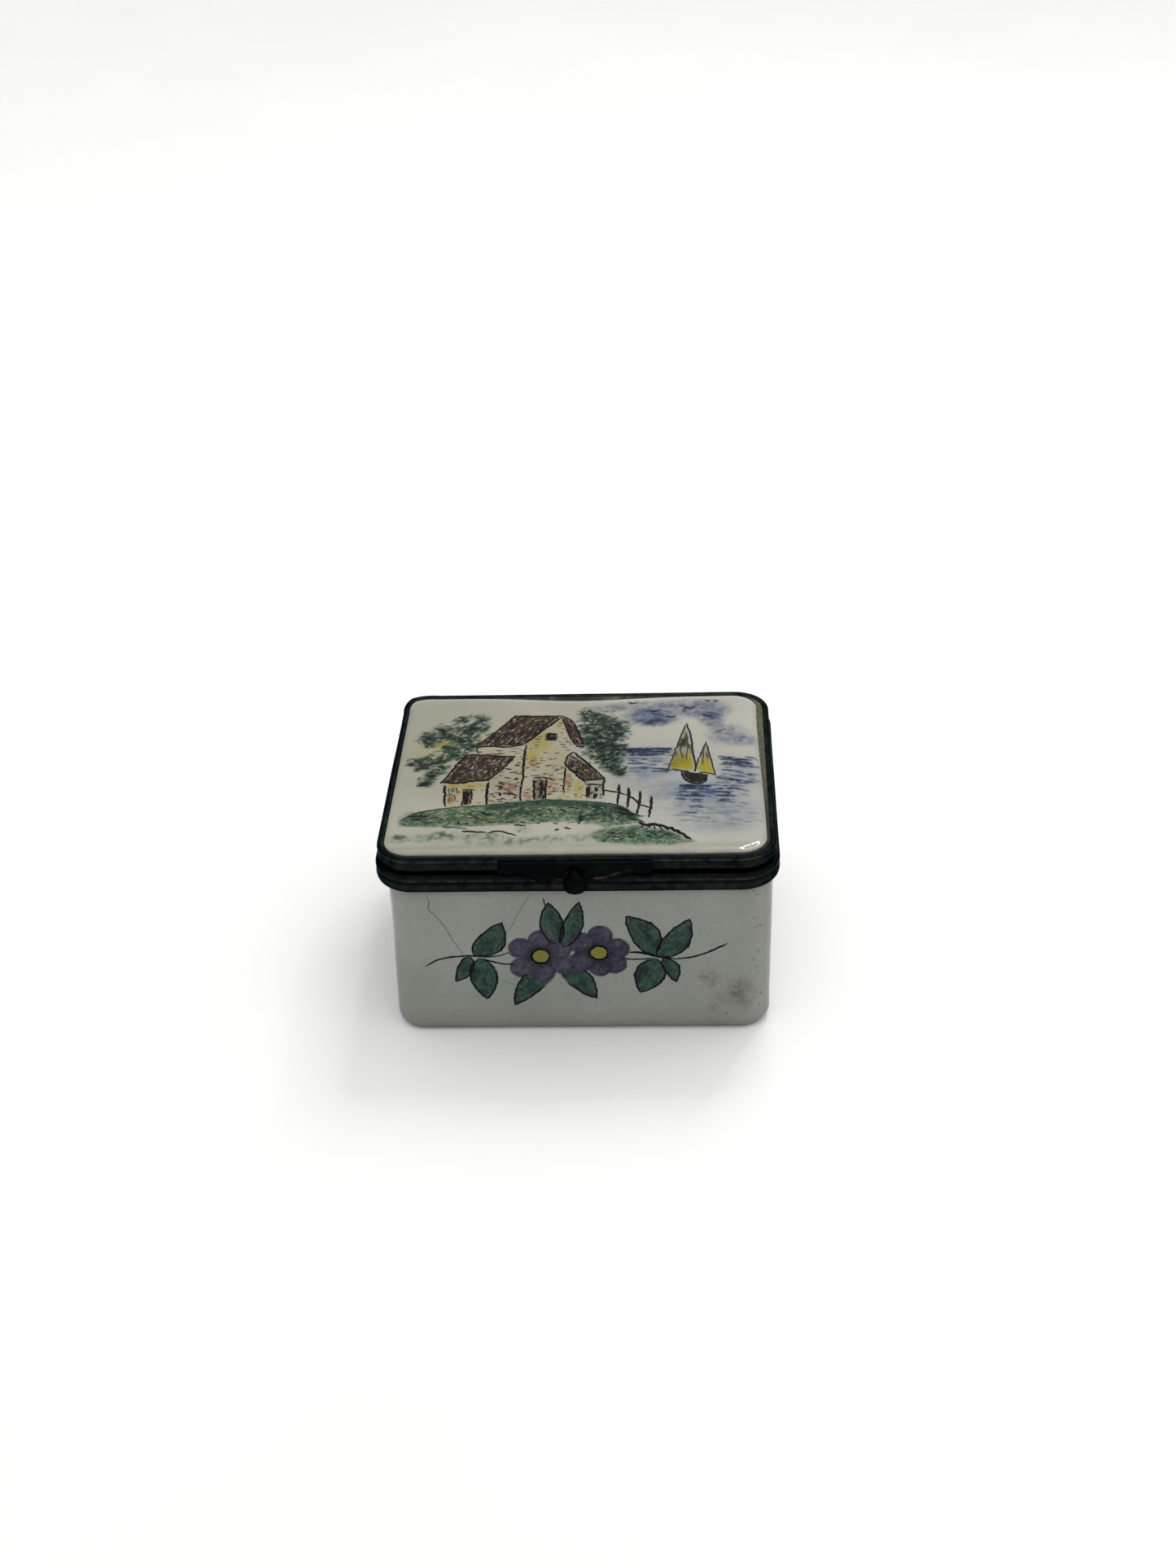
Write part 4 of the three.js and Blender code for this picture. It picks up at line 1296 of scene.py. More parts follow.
def paintLid(points):
    x, y, z = points.T
    paper = np.ones((len(points), 3))
    top = z > panelShape["edgeTop"] - 0.02
    u = x[top]
    v = y[top]
    face = np.ones((len(u), 3))
    # painted shade: the left of the lid darker, more so towards the back
    paintedLeftShade = ease(-u, -16, 6) * (0.45 + 0.55 * ease(v, -15, -2))
    washOver(face, paintedLeftShade * (0.8 + 0.3 * cloud(u, v, 5, 55)), "#e3e2da")
    washOver(face, spot(u, v, (-21.8, 4.2), 2.6, 3.6, soft=0.7) * 0.55, "#f6efc4")
    washOver(face, spot(u, v, (-20.4, 7.0), 1.3, 1.0, soft=0.5) * 0.9, "#ece17c")
    washOver(face, spot(u, v, (-15.2, 9.2), 0.8, 1.6, soft=0.6) * 0.5, "#f3e9a4")
    paintTree(face, u, v, leftTree, 51, (-27, -12), 0.95)
    paintTree(face, u, v, rightTree, 52, (-3, 9), 1.0)
    for paint in (paintBuildings, paintMound, paintSea, paintSky, paintBoat):
        paint(face, u, v)
    edge = ease(np.maximum(np.abs(u) / 26.2, np.abs(v) / 21.4), 0.965, 1.0)
    washOver(face, edge * (0.25 + 0.5 * cloud(u, v, 2.0, 53)) * 0.6, "#a8a48f")
    # painted shade along the front edge, where the glaze rolls down towards the rim
    washOver(face, ease(-v, 18.6, 20.4) * (0.4 + 0.4 * cloud(u, v, 2.4, 54)), "#d5d6cc")
    paper[top] = face
    side = (z > panelLow[2] + 0.3) & ~top
    washOver(paper, side * 0.8, "#8a8672")
    return paper


def drawRoofs(brush):
    roofTones = [lidColours["roof"], lidColours["roofDark"], lidColours["roof"], lidColours["roofDark"],
                 lidColours["roofRed"]]
    # slanting strokes: four corners, columns, rows, width and share left out
    hatching = [
        (mainRoof, 21, 6, 0.3, 0.18),
        (mainRoof, 13, 4, 0.36, 0.35),
        ([(-9.6, 6.6), (-4.8, 15.0), (-3.5, 15.1), (-8.6, 6.6)], 4, 5, 0.42, 0.1),
        (wingRoof, 17, 5, 0.28, 0.2),
        ([(-13.0, -3.0), (-14.2, 3.6), (-9.8, 3.3), (-11.4, -0.6)], 6, 4, 0.34, 0.3),
        ([(-2.0, 0.4), (-1.5, 3.4), (1.4, 0.4), (0.6, -3.5)], 7, 3, 0.34, 0.15),
        ([(0.4, -3.4), (0.8, 1.0), (3.2, -3.0), (2.4, -3.5)], 6, 3, 0.3, 0.2),
        ([(-1.0, 6.4), (-3.3, 14.2), (-2.9, 15.0), (0.0, 6.6)], 3, 5, 0.3, 0.25),
    ]
    for corners, columns, rows, width, gap in hatching:
        brush.hatch(corners, columns, rows, width, roofTones, gap)
    chalk = lidColours["chalk"]
    # chalky flecks on the roofs: area, count, length, width, colours and slope
    brush.scatter([
        (mainRoof, 85, 0.75, 0.15, chalk, 1.0), (wingRoof, 80, 0.6, 0.15, chalk, 1.0),
        (leanRoof, 26, 0.6, 0.15, chalk, 2.1), (gableStrip, 12, 0.6, 0.14, chalk, 1.9),
    ])


# outlines of the roofs, the walls and the doors, then windows and stonework
def drawWalls(brush):
    ink = lidColours["ink"]
    inkRoutes = [
        ([(-10.4, 15.3), (-8.6, 15.1), (-5.8, 15.1), (-3.3, 15.2)], 0.42),
        ([(-10.3, 15.3), (-12.2, 11.8), (-14.0, 8.8), (-15.5, 6.2)], 0.3),
        ([(-15.6, 6.1), (-13.4, 6.3), (-11.0, 6.0), (-8.6, 6.6)], 0.42),
        ([(-3.3, 15.0), (-4.6, 12.7), (-6.6, 9.6), (-8.5, 6.7)], 0.36),
        ([(-3.3, 15.2), (-1.9, 13.6), (-0.9, 10.8), (-0.2, 8.2), (0.2, 6.3)], 0.3),
        ([(-3.2, 14.2), (-2.5, 11.4), (-1.9, 8.8), (-1.0, 6.3)], 0.26),
        ([(-1.0, 5.9), (-0.3, 5.8), (0.5, 5.6)], 0.42),
        ([(-16.9, 3.9), (-14.4, 3.8), (-11.8, 3.4), (-9.5, 3.3)], 0.36),
        ([(-16.9, 3.8), (-18.2, 0.6), (-19.1, -1.8), (-19.9, -3.8)], 0.3),
        ([(-19.8, -3.5), (-17.4, -3.7), (-15.2, -3.3), (-13.0, -3.2)], 0.5),
        ([(-9.7, 3.2), (-10.8, 0.8), (-12.0, -1.4), (-13.0, -3.1)], 0.3),
        ([(-15.3, 6.1), (-15.4, 5.2), (-15.2, 4.2)], 0.26),
        ([(-8.2, 6.6), (-8.3, 3.0), (-8.2, -2.0), (-8.3, -6.0), (-8.2, -8.8)], 0.34),
        ([(-19.3, -4.2), (-19.1, -6.0), (-19.0, -8.0), (-18.7, -9.9)], 0.34),
        ([(-13.0, -3.6), (-13.1, -6.0), (-12.9, -9.6)], 0.4),
        ([(-1.3, 4.3), (-2.0, 3.0), (-2.2, 1.4), (-2.1, 0.2)], 0.3),
        ([(-1.3, 4.3), (0.2, 2.2), (1.4, 0.3), (2.6, -1.6), (3.5, -3.3)], 0.36),
        ([(-2.1, 0.4), (-1.2, -1.0), (-0.2, -2.6), (0.9, -4.2)], 0.36),
        ([(-2.1, 0.0), (-2.2, -3.0), (-2.2, -7.0)], 0.26),
        ([(1.0, -3.4), (2.2, -3.4), (3.6, -3.3)], 0.4),
        ([(3.5, -3.2), (3.4, -5.4), (3.6, -7.6)], 0.3),
        ([(1.0, -4.6), (2.4, -4.7), (3.4, -4.9)], 0.34),
        ([(-6.7, -2.8), (-5.6, -2.6), (-4.0, -3.0)], 0.36),
        ([(-6.6, -3.2), (-6.4, -5.6), (-6.3, -8.4)], 0.34),
        ([(-4.7, -3.2), (-4.8, -5.8), (-4.6, -8.6)], 0.34),
        ([(-5.4, -3.4), (-5.3, -5.6), (-5.5, -8.0)], 0.44),
        ([(-16.6, -5.4), (-15.8, -5.6), (-15.2, -5.5)], 0.26),
        ([(-16.5, -5.5), (-16.3, -7.4), (-16.5, -9.6)], 0.26),
        ([(-15.3, -5.5), (-15.2, -7.6), (-15.3, -9.4)], 0.26),
    ]
    brush.lines(inkRoutes, ink, 0.05, 0.3)
    for step in range(5):
        brush.line([(-5.4, 9.6 - step * 0.42), (-4.6, 9.65 - step * 0.42), (-3.85, 9.55 - step * 0.42)],
                   0.5, ink, 0.04, 0.05)
    blobs = [
        ((1.3, -5.3), (1.2, -8.0), 0.55), ((2.3, -5.4), (2.5, -6.6), 0.5), ((2.3, -7.0), (2.2, -8.4), 0.5),
        ((-16.0, -5.8), (-15.8, -9.4), 0.6), ((-15.6, -6.2), (-15.9, -9.0), 0.4),
    ]
    for start, end, width in blobs:
        brush.line([start, end], width, lidColours["roofDark"], 0.06, 0.1)
    # courses of stone: area, count, length, width, colours and slope
    stones = [
        (gableWall, 62, 0.7, 0.2, lidColours["stone"], 0),
        ([(-8.1, 2), (-5, 4), (-2.4, 0), (-2.4, -8.5), (-8.1, -8.6)], 26, 0.6, 0.24, lidColours["stone"],
         0),
        (sideWall, 52, 0.75, 0.24, lidColours["stone"], -0.1),
        (stripWall, 14, 0.8, 0.18, lidColours["stone"], 0),
        (wingWall, 16, 0.5, 0.2, lidColours["stone"], 0),
        (leanWall, 14, 0.5, 0.2, ["#8a5146", "#5d3b31", "#3b372e"], 0),
    ]
    brush.scatter(stones)
    for left, low in ((-18.6, -4.9), (-18.1, -4.7), (-17.5, -4.9), (-17.6, -7.0), (-18.4, -7.2)):
        brush.line([(left, low), (left + 0.1, low - 1.6)], 0.2, "#4a4438", 0.05)
    for level in (-5.6, -6.9):
        brush.line([(-18.9, level), (-17.3, level + 0.1)], 0.16, "#4a4438", 0.05)
    # darker marks on the side wall, in the big doorway and in the end window
    marks = [
        ([(-12.4, -4.5), (-9, -2), (-8.7, -8.4), (-12.4, -8.8)], 12, 0.5, 0.38, [ink, "#4a2f2a"], -0.3),
        ([(-6.4, -3.4), (-4.8, -3.4), (-4.8, -8.3), (-6.4, -8.3)], 10, 0.8, 0.3, [ink, "#2b2220"], 1.5),
        ([(1.1, -5), (3.4, -5), (3.4, -8.2), (1.1, -8.2)], 9, 0.5, 0.34, [ink, "#3b2a25"], 0.6),
    ]
    brush.scatter(marks)
    brush.line([(-10.2, -6.8), (-9.0, -7.0)], 0.5, lidColours["roofDark"])
    brush.line([(-11.4, -6.4), (-11.0, -7.4)], 0.4, lidColours["roofDark"])


# crisp leaves over the soft ones: dark dabs with a few pale ones between them
def drawLeaves(brush):
    for centreX, centreY, spread, count in leftTree + rightTree:
        for _ in range(round(count * 1.5)):
            centre = brush.rng.normal((centreX, centreY), spread * 0.8)
            tilt = brush.rng.uniform(-0.9, 1.2)
            reach = np.array([math.cos(tilt), math.sin(tilt)]) * brush.rng.uniform(0.15, 0.4)
            bow = np.array([-reach[1], reach[0]]) * brush.rng.uniform(-0.5, 0.5)
            pale = brush.rng.random() < 0.2
            colour = "#87917f" if pale else lidColours["leafTones"][brush.rng.integers(3)]
            brush.line([centre - reach, centre + bow, centre + reach], 0.12 if pale else 0.2, colour, 0.02)


def drawMound(brush):
    ink = lidColours["ink"]
    green = "#28372f"
    brush.line(moundTop[:7], 0.26, green, 0.05, 0.2)
    brush.line(moundTop[6:10], 0.3, green, 0.06, 0.1)
    routes = [
        ([(-18.6, -15.1), (-17.0, -15.3), (-15.2, -15.6)], 0.22),
        ([(-15.9, -16.2), (-14.4, -16.3), (-12.4, -16.6)], 0.36),
        ([(-12.2, -16.8), (-11.2, -16.3), (-10.0, -16.5), (-8.2, -17.4)], 0.34),
        ([(-23.7, -12.2), (-20.6, -12.2)], 0.26), ([(-22.3, -13.2), (-21.6, -13.1)], 0.34),
        ([(-21.4, -14.0), (-20.2, -13.8)], 0.26), ([(-22.8, -11.4), (-20.8, -10.9)], 0.24),
        ([(-12.4, -14.1), (-10.6, -14.0), (-8.8, -13.9)], 0.18), ([(-8.8, -14.8), (-7.0, -14.9)], 0.3),
        ([(-5.9, -14.2), (-5.2, -14.7)], 0.26), ([(-7.2, -12.2), (-5.0, -12.4)], 0.26),
        ([(-13.6, -11.4), (-12.6, -12.2)], 0.36), ([(-12.9, -12.0), (-11.8, -12.3)], 0.4),
        ([(-4.2, -11.0), (-3.6, -11.7)], 0.34), ([(-2.6, -10.8), (-1.4, -11.8)], 0.26),
        ([(1.6, -12.4), (4.2, -12.4)], 0.22), ([(-1.2, -10.6), (0.2, -10.8)], 0.24),
        ([(3.8, -16.9), (7.4, -17.2)], 0.26), ([(4.8, -17.8), (6.4, -18.2)], 0.26),
        ([(9.6, -16.6), (11.8, -17.8)], 0.26), ([(-19.2, -12.9), (-18.4, -13.5)], 0.26),
        ([(-15.2, -11.8), (-14.0, -12.8)], 0.22), ([(0.4, -12.6), (0.5, -13.6), (0.2, -14.8)], 0.45),
        ([(0.3, -14.0), (1.1, -13.4)], 0.3),
        ([(5.4, -10.4), (7.0, -11.8), (8.6, -12.9), (9.4, -12.9)], 0.34),
        ([(5.6, -11.6), (6.8, -12.4), (8.2, -12.6)], 0.4),
        ([(6.8, -13.4), (8.4, -14.0), (9.4, -14.4)], 0.26),
    ]
    brush.lines(routes, ink, 0.05, 0.4)
    stones = [
        ((-16.5, -14.0), 0.42), ((-15.3, -14.3), 0.34), ((-2.7, -16.1), 0.38), ((-1.4, -15.7), 0.4),
        ((-1.0, -15.9), 0.3), ((-20.9, -13.4), 0.2), ((-3.8, -11.3), 0.24),
    ]
    for centre, radius in stones:
        brush.dot(centre, radius, "#11120f")
    bank = [(8.4, -14.7), (9.6, -15.0), (10.8, -15.0), (12.2, -15.6), (13.4, -16.2), (14.4, -17.2),
            (15.8, -18.6)]
    brush.line(bank, 0.6, ink, 0.1, 0.3)
    for i in range(7):
        topX = 9.0 + i * 0.85
        topY = -15.1 - 0.035 * i * i
        brush.line([(topX, topY), (topX + 0.25, topY - 0.8)], 0.34, ink, 0.08, 0.5)
    upper = [(-24, -14.4), (8, -14.8), (5, -10.6), (-20, -10.6)]
    lower = [(3, -19), (15, -19.2), (11, -15.6), (4, -16)]
    dark = lidColours["tuftTones"]
    pale = lidColours["tuftPale"]
    # tufts of grass: area, count, length, width, colours and slope
    brush.scatter([
        (upper, 150, 0.55, 0.16, dark, 0.0), (upper, 60, 0.5, 0.15, dark, 1.2),
        (lower, 60, 0.5, 0.15, dark, 0.2), (lower, 30, 0.5, 0.14, dark, 1.2),
        (upper, 90, 0.5, 0.12, pale, 0.2), (lower, 36, 0.5, 0.12, pale, 0.1),
    ])


def drawFence(brush):
    wood = "#17130f"
    posts = [
        ((5.6, -4.7), (5.5, -10.0)), ((7.0, -5.6), (6.9, -10.8)), ((8.7, -6.5), (8.3, -12.4)),
        ((10.3, -7.9), (9.9, -13.3)),
    ]
    for top, foot in posts:
        middle = ((top[0] + foot[0]) / 2 + 0.1, (top[1] + foot[1]) / 2)
        brush.line([top, middle, foot], 0.4, wood, 0.04, 0.35)
    rails = [
        [(3.4, -6.0), (4.6, -6.6), (5.6, -6.8), (6.6, -7.4)], [(6.6, -7.5), (7.6, -8.3), (8.6, -9.8)],
        [(8.7, -10.0), (9.4, -10.4), (10.1, -10.8)],
    ]
    for rail in rails:
        brush.line(rail, 0.32, wood, 0.05, 0.2)


def drawBoat(brush):
    ink = "#28231c"
    routes = [
        ([(15.3, 12.4), (14.7, 10.0), (13.9, 6.0), (13.2, 2.6), (12.5, -1.0)], 0.22),
        ([(15.3, 12.3), (15.9, 8.4), (16.1, 4.4), (16.5, 0.8), (16.4, -1.4)], 0.3),
        ([(15.2, 9.6), (15.4, 6.0), (15.2, 2.0)], 0.14), ([(14.9, 8.0), (14.4, 5.0), (14.6, 2.4)], 0.16),
        ([(13.2, -0.5), (14.4, -1.0), (15.6, -1.2)], 0.3),
        ([(18.1, 6.9), (17.6, 4.6), (16.9, 1.8), (16.5, -0.8)], 0.24),
        ([(18.1, 6.9), (18.6, 3.6), (19.0, 0.6), (19.4, -2.4)], 0.24),
        ([(16.9, -1.5), (18.2, -1.7), (19.5, -2.3)], 0.26), ([(17.7, 4.6), (17.6, 2.0), (17.5, 0.4)], 0.14),
        ([(14.5, -1.2), (14.7, -2.6), (15.5, -4.0), (16.8, -4.6), (17.9, -3.8), (18.2, -2.2)], 0.36),
        ([(15.0, -1.4), (15.4, -3.0), (16.4, -4.0)], 0.4),
        ([(16.0, -1.6), (16.2, -3.0), (17.2, -4.0)], 0.4), ([(17.2, -2.2), (17.4, -3.4)], 0.3),
        ([(14.8, -1.3), (16.2, -1.8), (17.6, -2.0)], 0.34),
    ]
    for route, width in routes:
        brush.line(route, width, ink if width < 0.34 else lidColours["hull"], 0.04, 0.2)


def drawBirds(brush):
    for x, y, size in ((7.2, 19.2, 0.75), (10.6, 16.3, 0.8), (13.0, 14.3, 0.8), (15.7, 17.2, 0.85),
                       (18.4, 14.7, 0.8), (18.5, 19.3, 0.45), (19.8, 19.2, 0.4)):
        dip = 0.35 * size
        brush.line([(x - size, y + dip * 0.9), (x - size * 0.3, y + dip * 0.2), (x, y - dip * 0.5),
                    (x + size * 0.4, y + dip * 0.1), (x + size, y + dip * 0.7)], 0.32, "#1b1b1d", 0.03, 0.4)


lidPanel = makePanel()
panelPoints = readPoints(lidPanel)
paintPoints(lidPanel, "paint", paintLid(panelPoints))
writePoints(lidPanel, panelSettle(panelPoints))
settle(lidPanel, "lid", lidGlaze, ["lid_panel"])

lidBrush = Brush(81, 1.3)
for draw in (drawLeaves, drawRoofs, drawWalls, drawMound, drawFence, drawBoat, drawBirds):
    draw(lidBrush)
settle(lidBrush.mesh("lid_painting_lines", onLid, 0.022, 0.02), "lid", paintInk)


print("stage 5: rims, collar and cement")

rimShape = {
    "split": 0.56,  # share of a rim's height taken by its lower bead
    "baseBead": 0.35,
    "lidBead": 0.25,
    "baseBand": 0.7,
    "lidBand": 0.9,
    "ledge": 0.6,
    "lineDepth": 0.045,  # fine turned lines along the rims
    "waver": 0.06,  # bent by hand, so never quite straight
    "baseInner": 4.88,  # rim outlines to the hidden inner faces
    "baseRebate": 4.38,
    "rebateDrop": 2.2,
    "lidInner": 4.16,
    "sides": (72, 60, 72, 60),
    "cornerSteps": 14,
}


# outer face of a rim, from the bottom up: (inset, height, wear and painted highlight)
def beadedFace(bottom, top, bead, lines):
    height = top - bottom
    split = bottom + rimShape["split"] * height
    face = []
    for low, high in ((bottom, split), (split, top)):
        for share in np.linspace(0, 1, 15)[1 if low > bottom else 0:]:
            z = (low + high) / 2 - (high - low) / 2 * math.cos(share * math.pi)
            groove = 0.5 if (share > 0.5) == (low == bottom) else 1.0  # shallower between the two beads
            inset = bead * groove * (1 - math.sin(share * math.pi))
            face.append([inset, z, 0.08 + 0.12 * math.sin(share * math.pi) ** 8])
    for point in face:
        for line, strength in lines:
            near = math.exp(-((point[1] - bottom - line * height) / 0.05) ** 2)
            point[0] += rimShape["lineDepth"] * near
            point[2] += 0.9 * strength * math.exp(-((point[1] - bottom - line * height - 0.08) / 0.12) ** 2)
    return face


def waverRim(points, seed):
    x, y = points[:, :2].T
    turn = np.arctan2(y / 23, x / 28)
    push = sum(np.sin(k * turn + seed * k * 1.7) / k ** 0.5 for k in (2, 3, 5, 8)) * rimShape["waver"] / 2
    lift = sum(np.sin(k * turn + seed * k * 2.9) / k ** 0.5 for k in (2, 4, 7)) * rimShape["waver"] / 3
    reach = np.hypot(x / 28, y / 23.2) + 1e-9
    moved = points.copy()
    moved[:, 0] += (push - 0.06) * x / 28 / reach
    moved[:, 1] += (push - 0.06) * y / 23.2 / reach
    moved[:, 2] += lift
    return moved


def sweepBrass(name, outline, section, seed, low, high):
    piece = sweepRing(name, outline, [s[:2] for s in section], rimShape["sides"], rimShape["cornerSteps"],
                      edgeAngle=48)
    points = readPoints(piece)
    count = len(points) // len(section)
    wearAndGlint = np.repeat([s[2] for s in section], count)
    setWearAndGlint(piece, wearAndGlint * (0.5 + cloud(points[:, 0], points[:, 1], 4.0, seed)))
    moved = waverRim(points, seed)
    moved[:, 2] = np.clip(moved[:, 2], low, high)
    writePoints(piece, moved)
    return piece


def makeBaseRim():
    bottom = baseRimLow[2]
    top = baseRimHigh[2]
    shape = rimShape
    inner = shape["baseInner"]
    rebate = shape["baseRebate"]
    drop = top - shape["rebateDrop"]
    section = beadedFace(bottom, top, shape["baseBead"], ((0.36, 0.2), (0.66, 0.6), (0.16, 0.1)))
    section += [
        [inner - 0.1, top, 0.3], [inner, top - 0.1, 0.6], [inner, drop, 0.1], [rebate, drop, 0],
        [rebate, top - shape["ledge"], 0], [shape["baseBand"], top - shape["ledge"], 0],
        [shape["baseBand"], bottom + 0.05, 0], [shape["baseBand"] - 0.1, bottom, 0.3],
    ]
    piece = sweepBrass("base_rim_band", outlines["base"], section, 1, bottom, top)
    settle(piece, "base", rimBrass, ["base_rim"])


def makeLidRim():
    bottom = lidRimLow[2]
    top = lidRimHigh[2]
    shape = rimShape
    inner = shape["lidInner"]
    section = beadedFace(bottom, top, shape["lidBead"], ((0.5, 0.3), (0.8, 0.5)))
    # the lighter top bevel is a painted highlight along the rim's top
    section += [
        [shape["lidBand"] - 0.25, top - 0.02, 0.35], [shape["lidBand"] - 0.05, top - 0.06, 0.5],
        [shape["lidBand"], top - 0.2, 0.2], [shape["lidBand"], bottom + shape["ledge"], 0],
        [inner - 0.08, bottom + shape["ledge"], 0], [inner, bottom + shape["ledge"] - 0.08, 0.3],
        [inner, bottom + 0.1, 0.6], [inner - 0.1, bottom, 0.4],
    ]
    piece = sweepBrass("lid_rim_band", outlines["lid"], section, 2, bottom, top)
    writePoints(piece, squareCorner(readPoints(piece)))
    settle(piece, "lid", rimBrass, ["lid_rim"])


collarShape = {"inset": 4.93, "thickness": 0.5, "roundTop": 0.2}


def makeCollar():
    low, high = nodeBox("base_collar")
    outer = collarShape["inset"]
    inner = outer + collarShape["thickness"]
    middle = (outer + inner) / 2
    arch = collarShape["roundTop"]
    section = [[outer, low[2], 0], [outer, high[2] - arch - 0.02, 0.7]]
    for turn in np.linspace(0.2, math.pi - 0.2, 7):
        section.append([middle - collarShape["thickness"] / 2 * math.cos(turn),
                        high[2] - arch + arch * math.sin(turn), 1.0])
    section += [[inner, high[2] - arch - 0.02, 0.5], [inner, low[2], 0]]
    piece = sweepBrass("locating_collar", outlines["base"], section, 1, low[2], high[2])
    settle(piece, "base", innerBrass, ["base_collar"])


# a bed of cement: an open ring with lumpy faces
def makeCement(name, node, body, outline, section, lump, seed):
    low, high = nodeBox(node)
    piece = sweepRing(name, outline, section, (200, 150, 200, 150), 16, edgeAngle=60)
    points = readPoints(piece)
    x, y, z = points.T
    along = np.where(np.abs(x) * 23 > np.abs(y) * 28, y + np.sign(x) * 90, x)
    bumps = cloud(along, z * 3, 0.5, seed) - 0.5 + 0.6 * (cloud(along, z * 3, 1.7, seed + 1) - 0.5)
    upper = ease(z, high[2] - 0.5, high[2])
    points[:, 2] -= lump * (0.4 + bumps) * upper
    points[:, 2] = np.clip(points[:, 2], low[2], high[2])
    writePoints(piece, squareCorner(points) if body == "lid" else points)
    grimeAndShade = np.ones((len(points), 3))
    # darker everywhere but the exposed right side: dirt, and painted shade where the cement sits deep in
    # the narrow gap beside the panel
    exposedRight = ease(x, 24.5, 25.8) * ease(y, -19, 4)
    washOver(grimeAndShade, (1 - exposedRight) * (0.82 + 0.3 * cloud(along, z, 1.1, seed + 2)), "#3c3f3a")
    for place, width in ((-6.2, 1.4), (4.4, 2.6)):
        green = np.exp(-((x - place) / width) ** 2) * (y > 15) * blotches(along, z, 0.7, seed + 3, 0.3, 0.6)
        grimeAndShade += green[:, None] * (np.array((0.7, 0.9, 0.82)) - grimeAndShade)
    paintPoints(piece, "paint", grimeAndShade)
    settle(piece, body, oldCement, [node])


def makeCements():
    top = lidRimHigh[2]
    bed = panelLow[2] - 0.05
    ledge = baseRimHigh[2] - 2.15
    lidLow = nodeBox("lid_cement")[0]
    lidSection = [(0.95, lidLow[2]), (0.95, top - 0.25), (0.97, top - 0.08), (1.2, top - 0.05),
                  (1.5, top - 0.06), (1.8, top - 0.09), (2.05, top - 0.14), (2.05, bed), (3.86, bed),
                  (3.86, lidLow[2])]
    makeCement("panel_cement", "lid_cement", "lid", outlines["lid"], lidSection, 0.12, 61)
    low, high = nodeBox("base_cement")
    baseSection = [(0.75, low[2]), (0.75, high[2]), (4.33, high[2]), (4.33, ledge),
                   (4.03, ledge), (4.03, high[2] - 0.3), (0.93, high[2] - 0.3), (0.93, low[2])]
    makeCement("wall_cement", "base_cement", "base", outlines["base"], baseSection, 0.05, 62)


makeBaseRim()
makeLidRim()
makeCollar()
makeCements()


print("stage 6: hinge")

hingeShape = {
    "y": 24.25, "z": 27.2, "length": 30.0, "knuckleRadius": 0.95, "bore": 0.5, "groove": 1.10,
    "gap": 0.15, "pinRadius": 0.42, "headRadius": 0.75, "headLength": 0.35, "chamfer": 0.09,
}


# turns a profile of (radius, place along X) pairs about the hinge axis
def turnPiece(name, profile, steps=48, closed=True):
    shape = hingeShape
    angles = np.linspace(0, 2 * math.pi, steps, endpoint=False)
    points = []
    for radius, along in profile:
        for angle in angles:
            points.append((along, shape["y"] + radius * math.cos(angle),
                           shape["z"] + radius * math.sin(angle)))
    faces = bridge(len(profile), steps, closed)
    if not closed:
        faces += endFaces(len(profile), steps)
    return makePiece(name, points, faces, 45)


def makeKnuckles():
    shape = hingeShape
    owners = [("base_knuckle_left", "base"), ("lid_knuckle_left", "lid"), ("base_knuckle_middle", "base"),
              ("lid_knuckle_right", "lid"), ("base_knuckle_right", "base")]
    length = (shape["length"] - 4 * shape["gap"]) / 5
    for index, (node, body) in enumerate(owners):
        start = -shape["length"] / 2 + index * (length + shape["gap"])
        end = start + length
        cut = shape["chamfer"]
        radius = shape["knuckleRadius"]
        profile = [(shape["bore"], start + 0.05), (shape["bore"] + 0.06, start), (radius - cut, start),
                   (radius - 0.02, start + cut * 0.7), (radius, start + 2 * cut)]
        profile += [(radius - 0.01 * (i % 2),
                     start + 2 * cut + (length - 4 * cut) * i / 6) for i in range(1, 6)]
        profile += [(radius, end - 2 * cut), (radius - 0.02, end - cut * 0.7), (radius - cut, end),
                    (shape["bore"] + 0.06, end), (shape["bore"], end - 0.05)]
        piece = turnPiece(node + "_barrel", profile)
        points = readPoints(piece)
        nearEnd = np.minimum(points[:, 0] - start, end - points[:, 0])
        setWearAndGlint(piece, 0.35 + 0.6 * (1 - ease(nearEnd, 0.05, 0.5)))
        settle(piece, body, hingeBrass, [node])


def makePin():
    shape = hingeShape
    shank = shape["length"] / 2 + shape["gap"]
    half = [(shape["pinRadius"], shank - 4), (shape["pinRadius"], shank - 0.02),
            (shape["pinRadius"] + 0.04, shank)]
    half += [(shape["headRadius"] - 0.04, shank)]
    for turn in np.linspace(0, 1.35, 7):
        half.append((shape["headRadius"] * math.cos(turn),
                     shank + 0.04 + (shape["headLength"] - 0.04) * math.sin(turn)))
    profile = [(radius, -along) for radius, along in half[::-1]] + half
    piece = turnPiece("hinge_wire", profile, 32, closed=False)
    setWearAndGlint(piece, ease(np.abs(readPoints(piece)[:, 0]), shank, shank + 0.3) * 0.9)
    settle(piece, "base", hingeBrass, ["hinge_pin"])


def makeBearer(name, node, body, corners):
    low, high = nodeBox(node)
    loop = np.array(corners)
    stations = np.linspace(low[0], high[0], 31)
    points = [(x, y, z) for x in stations for y, z in loop]
    count = len(loop)
    faces = bridge(len(stations), count, False) + endFaces(len(stations), count)
    piece = makePiece(name, points, faces, 40)
    setWearAndGlint(piece, np.full(len(points), 0.35))
    bevel = piece.modifiers.new("softened edges", "BEVEL")
    bevel.width = 0.07 * mm
    bevel.segments = 3
    bevel.limit_method = "ANGLE"
    bevel.angle_limit = math.radians(50)
    settle(piece, body, hingeBrass, [node])


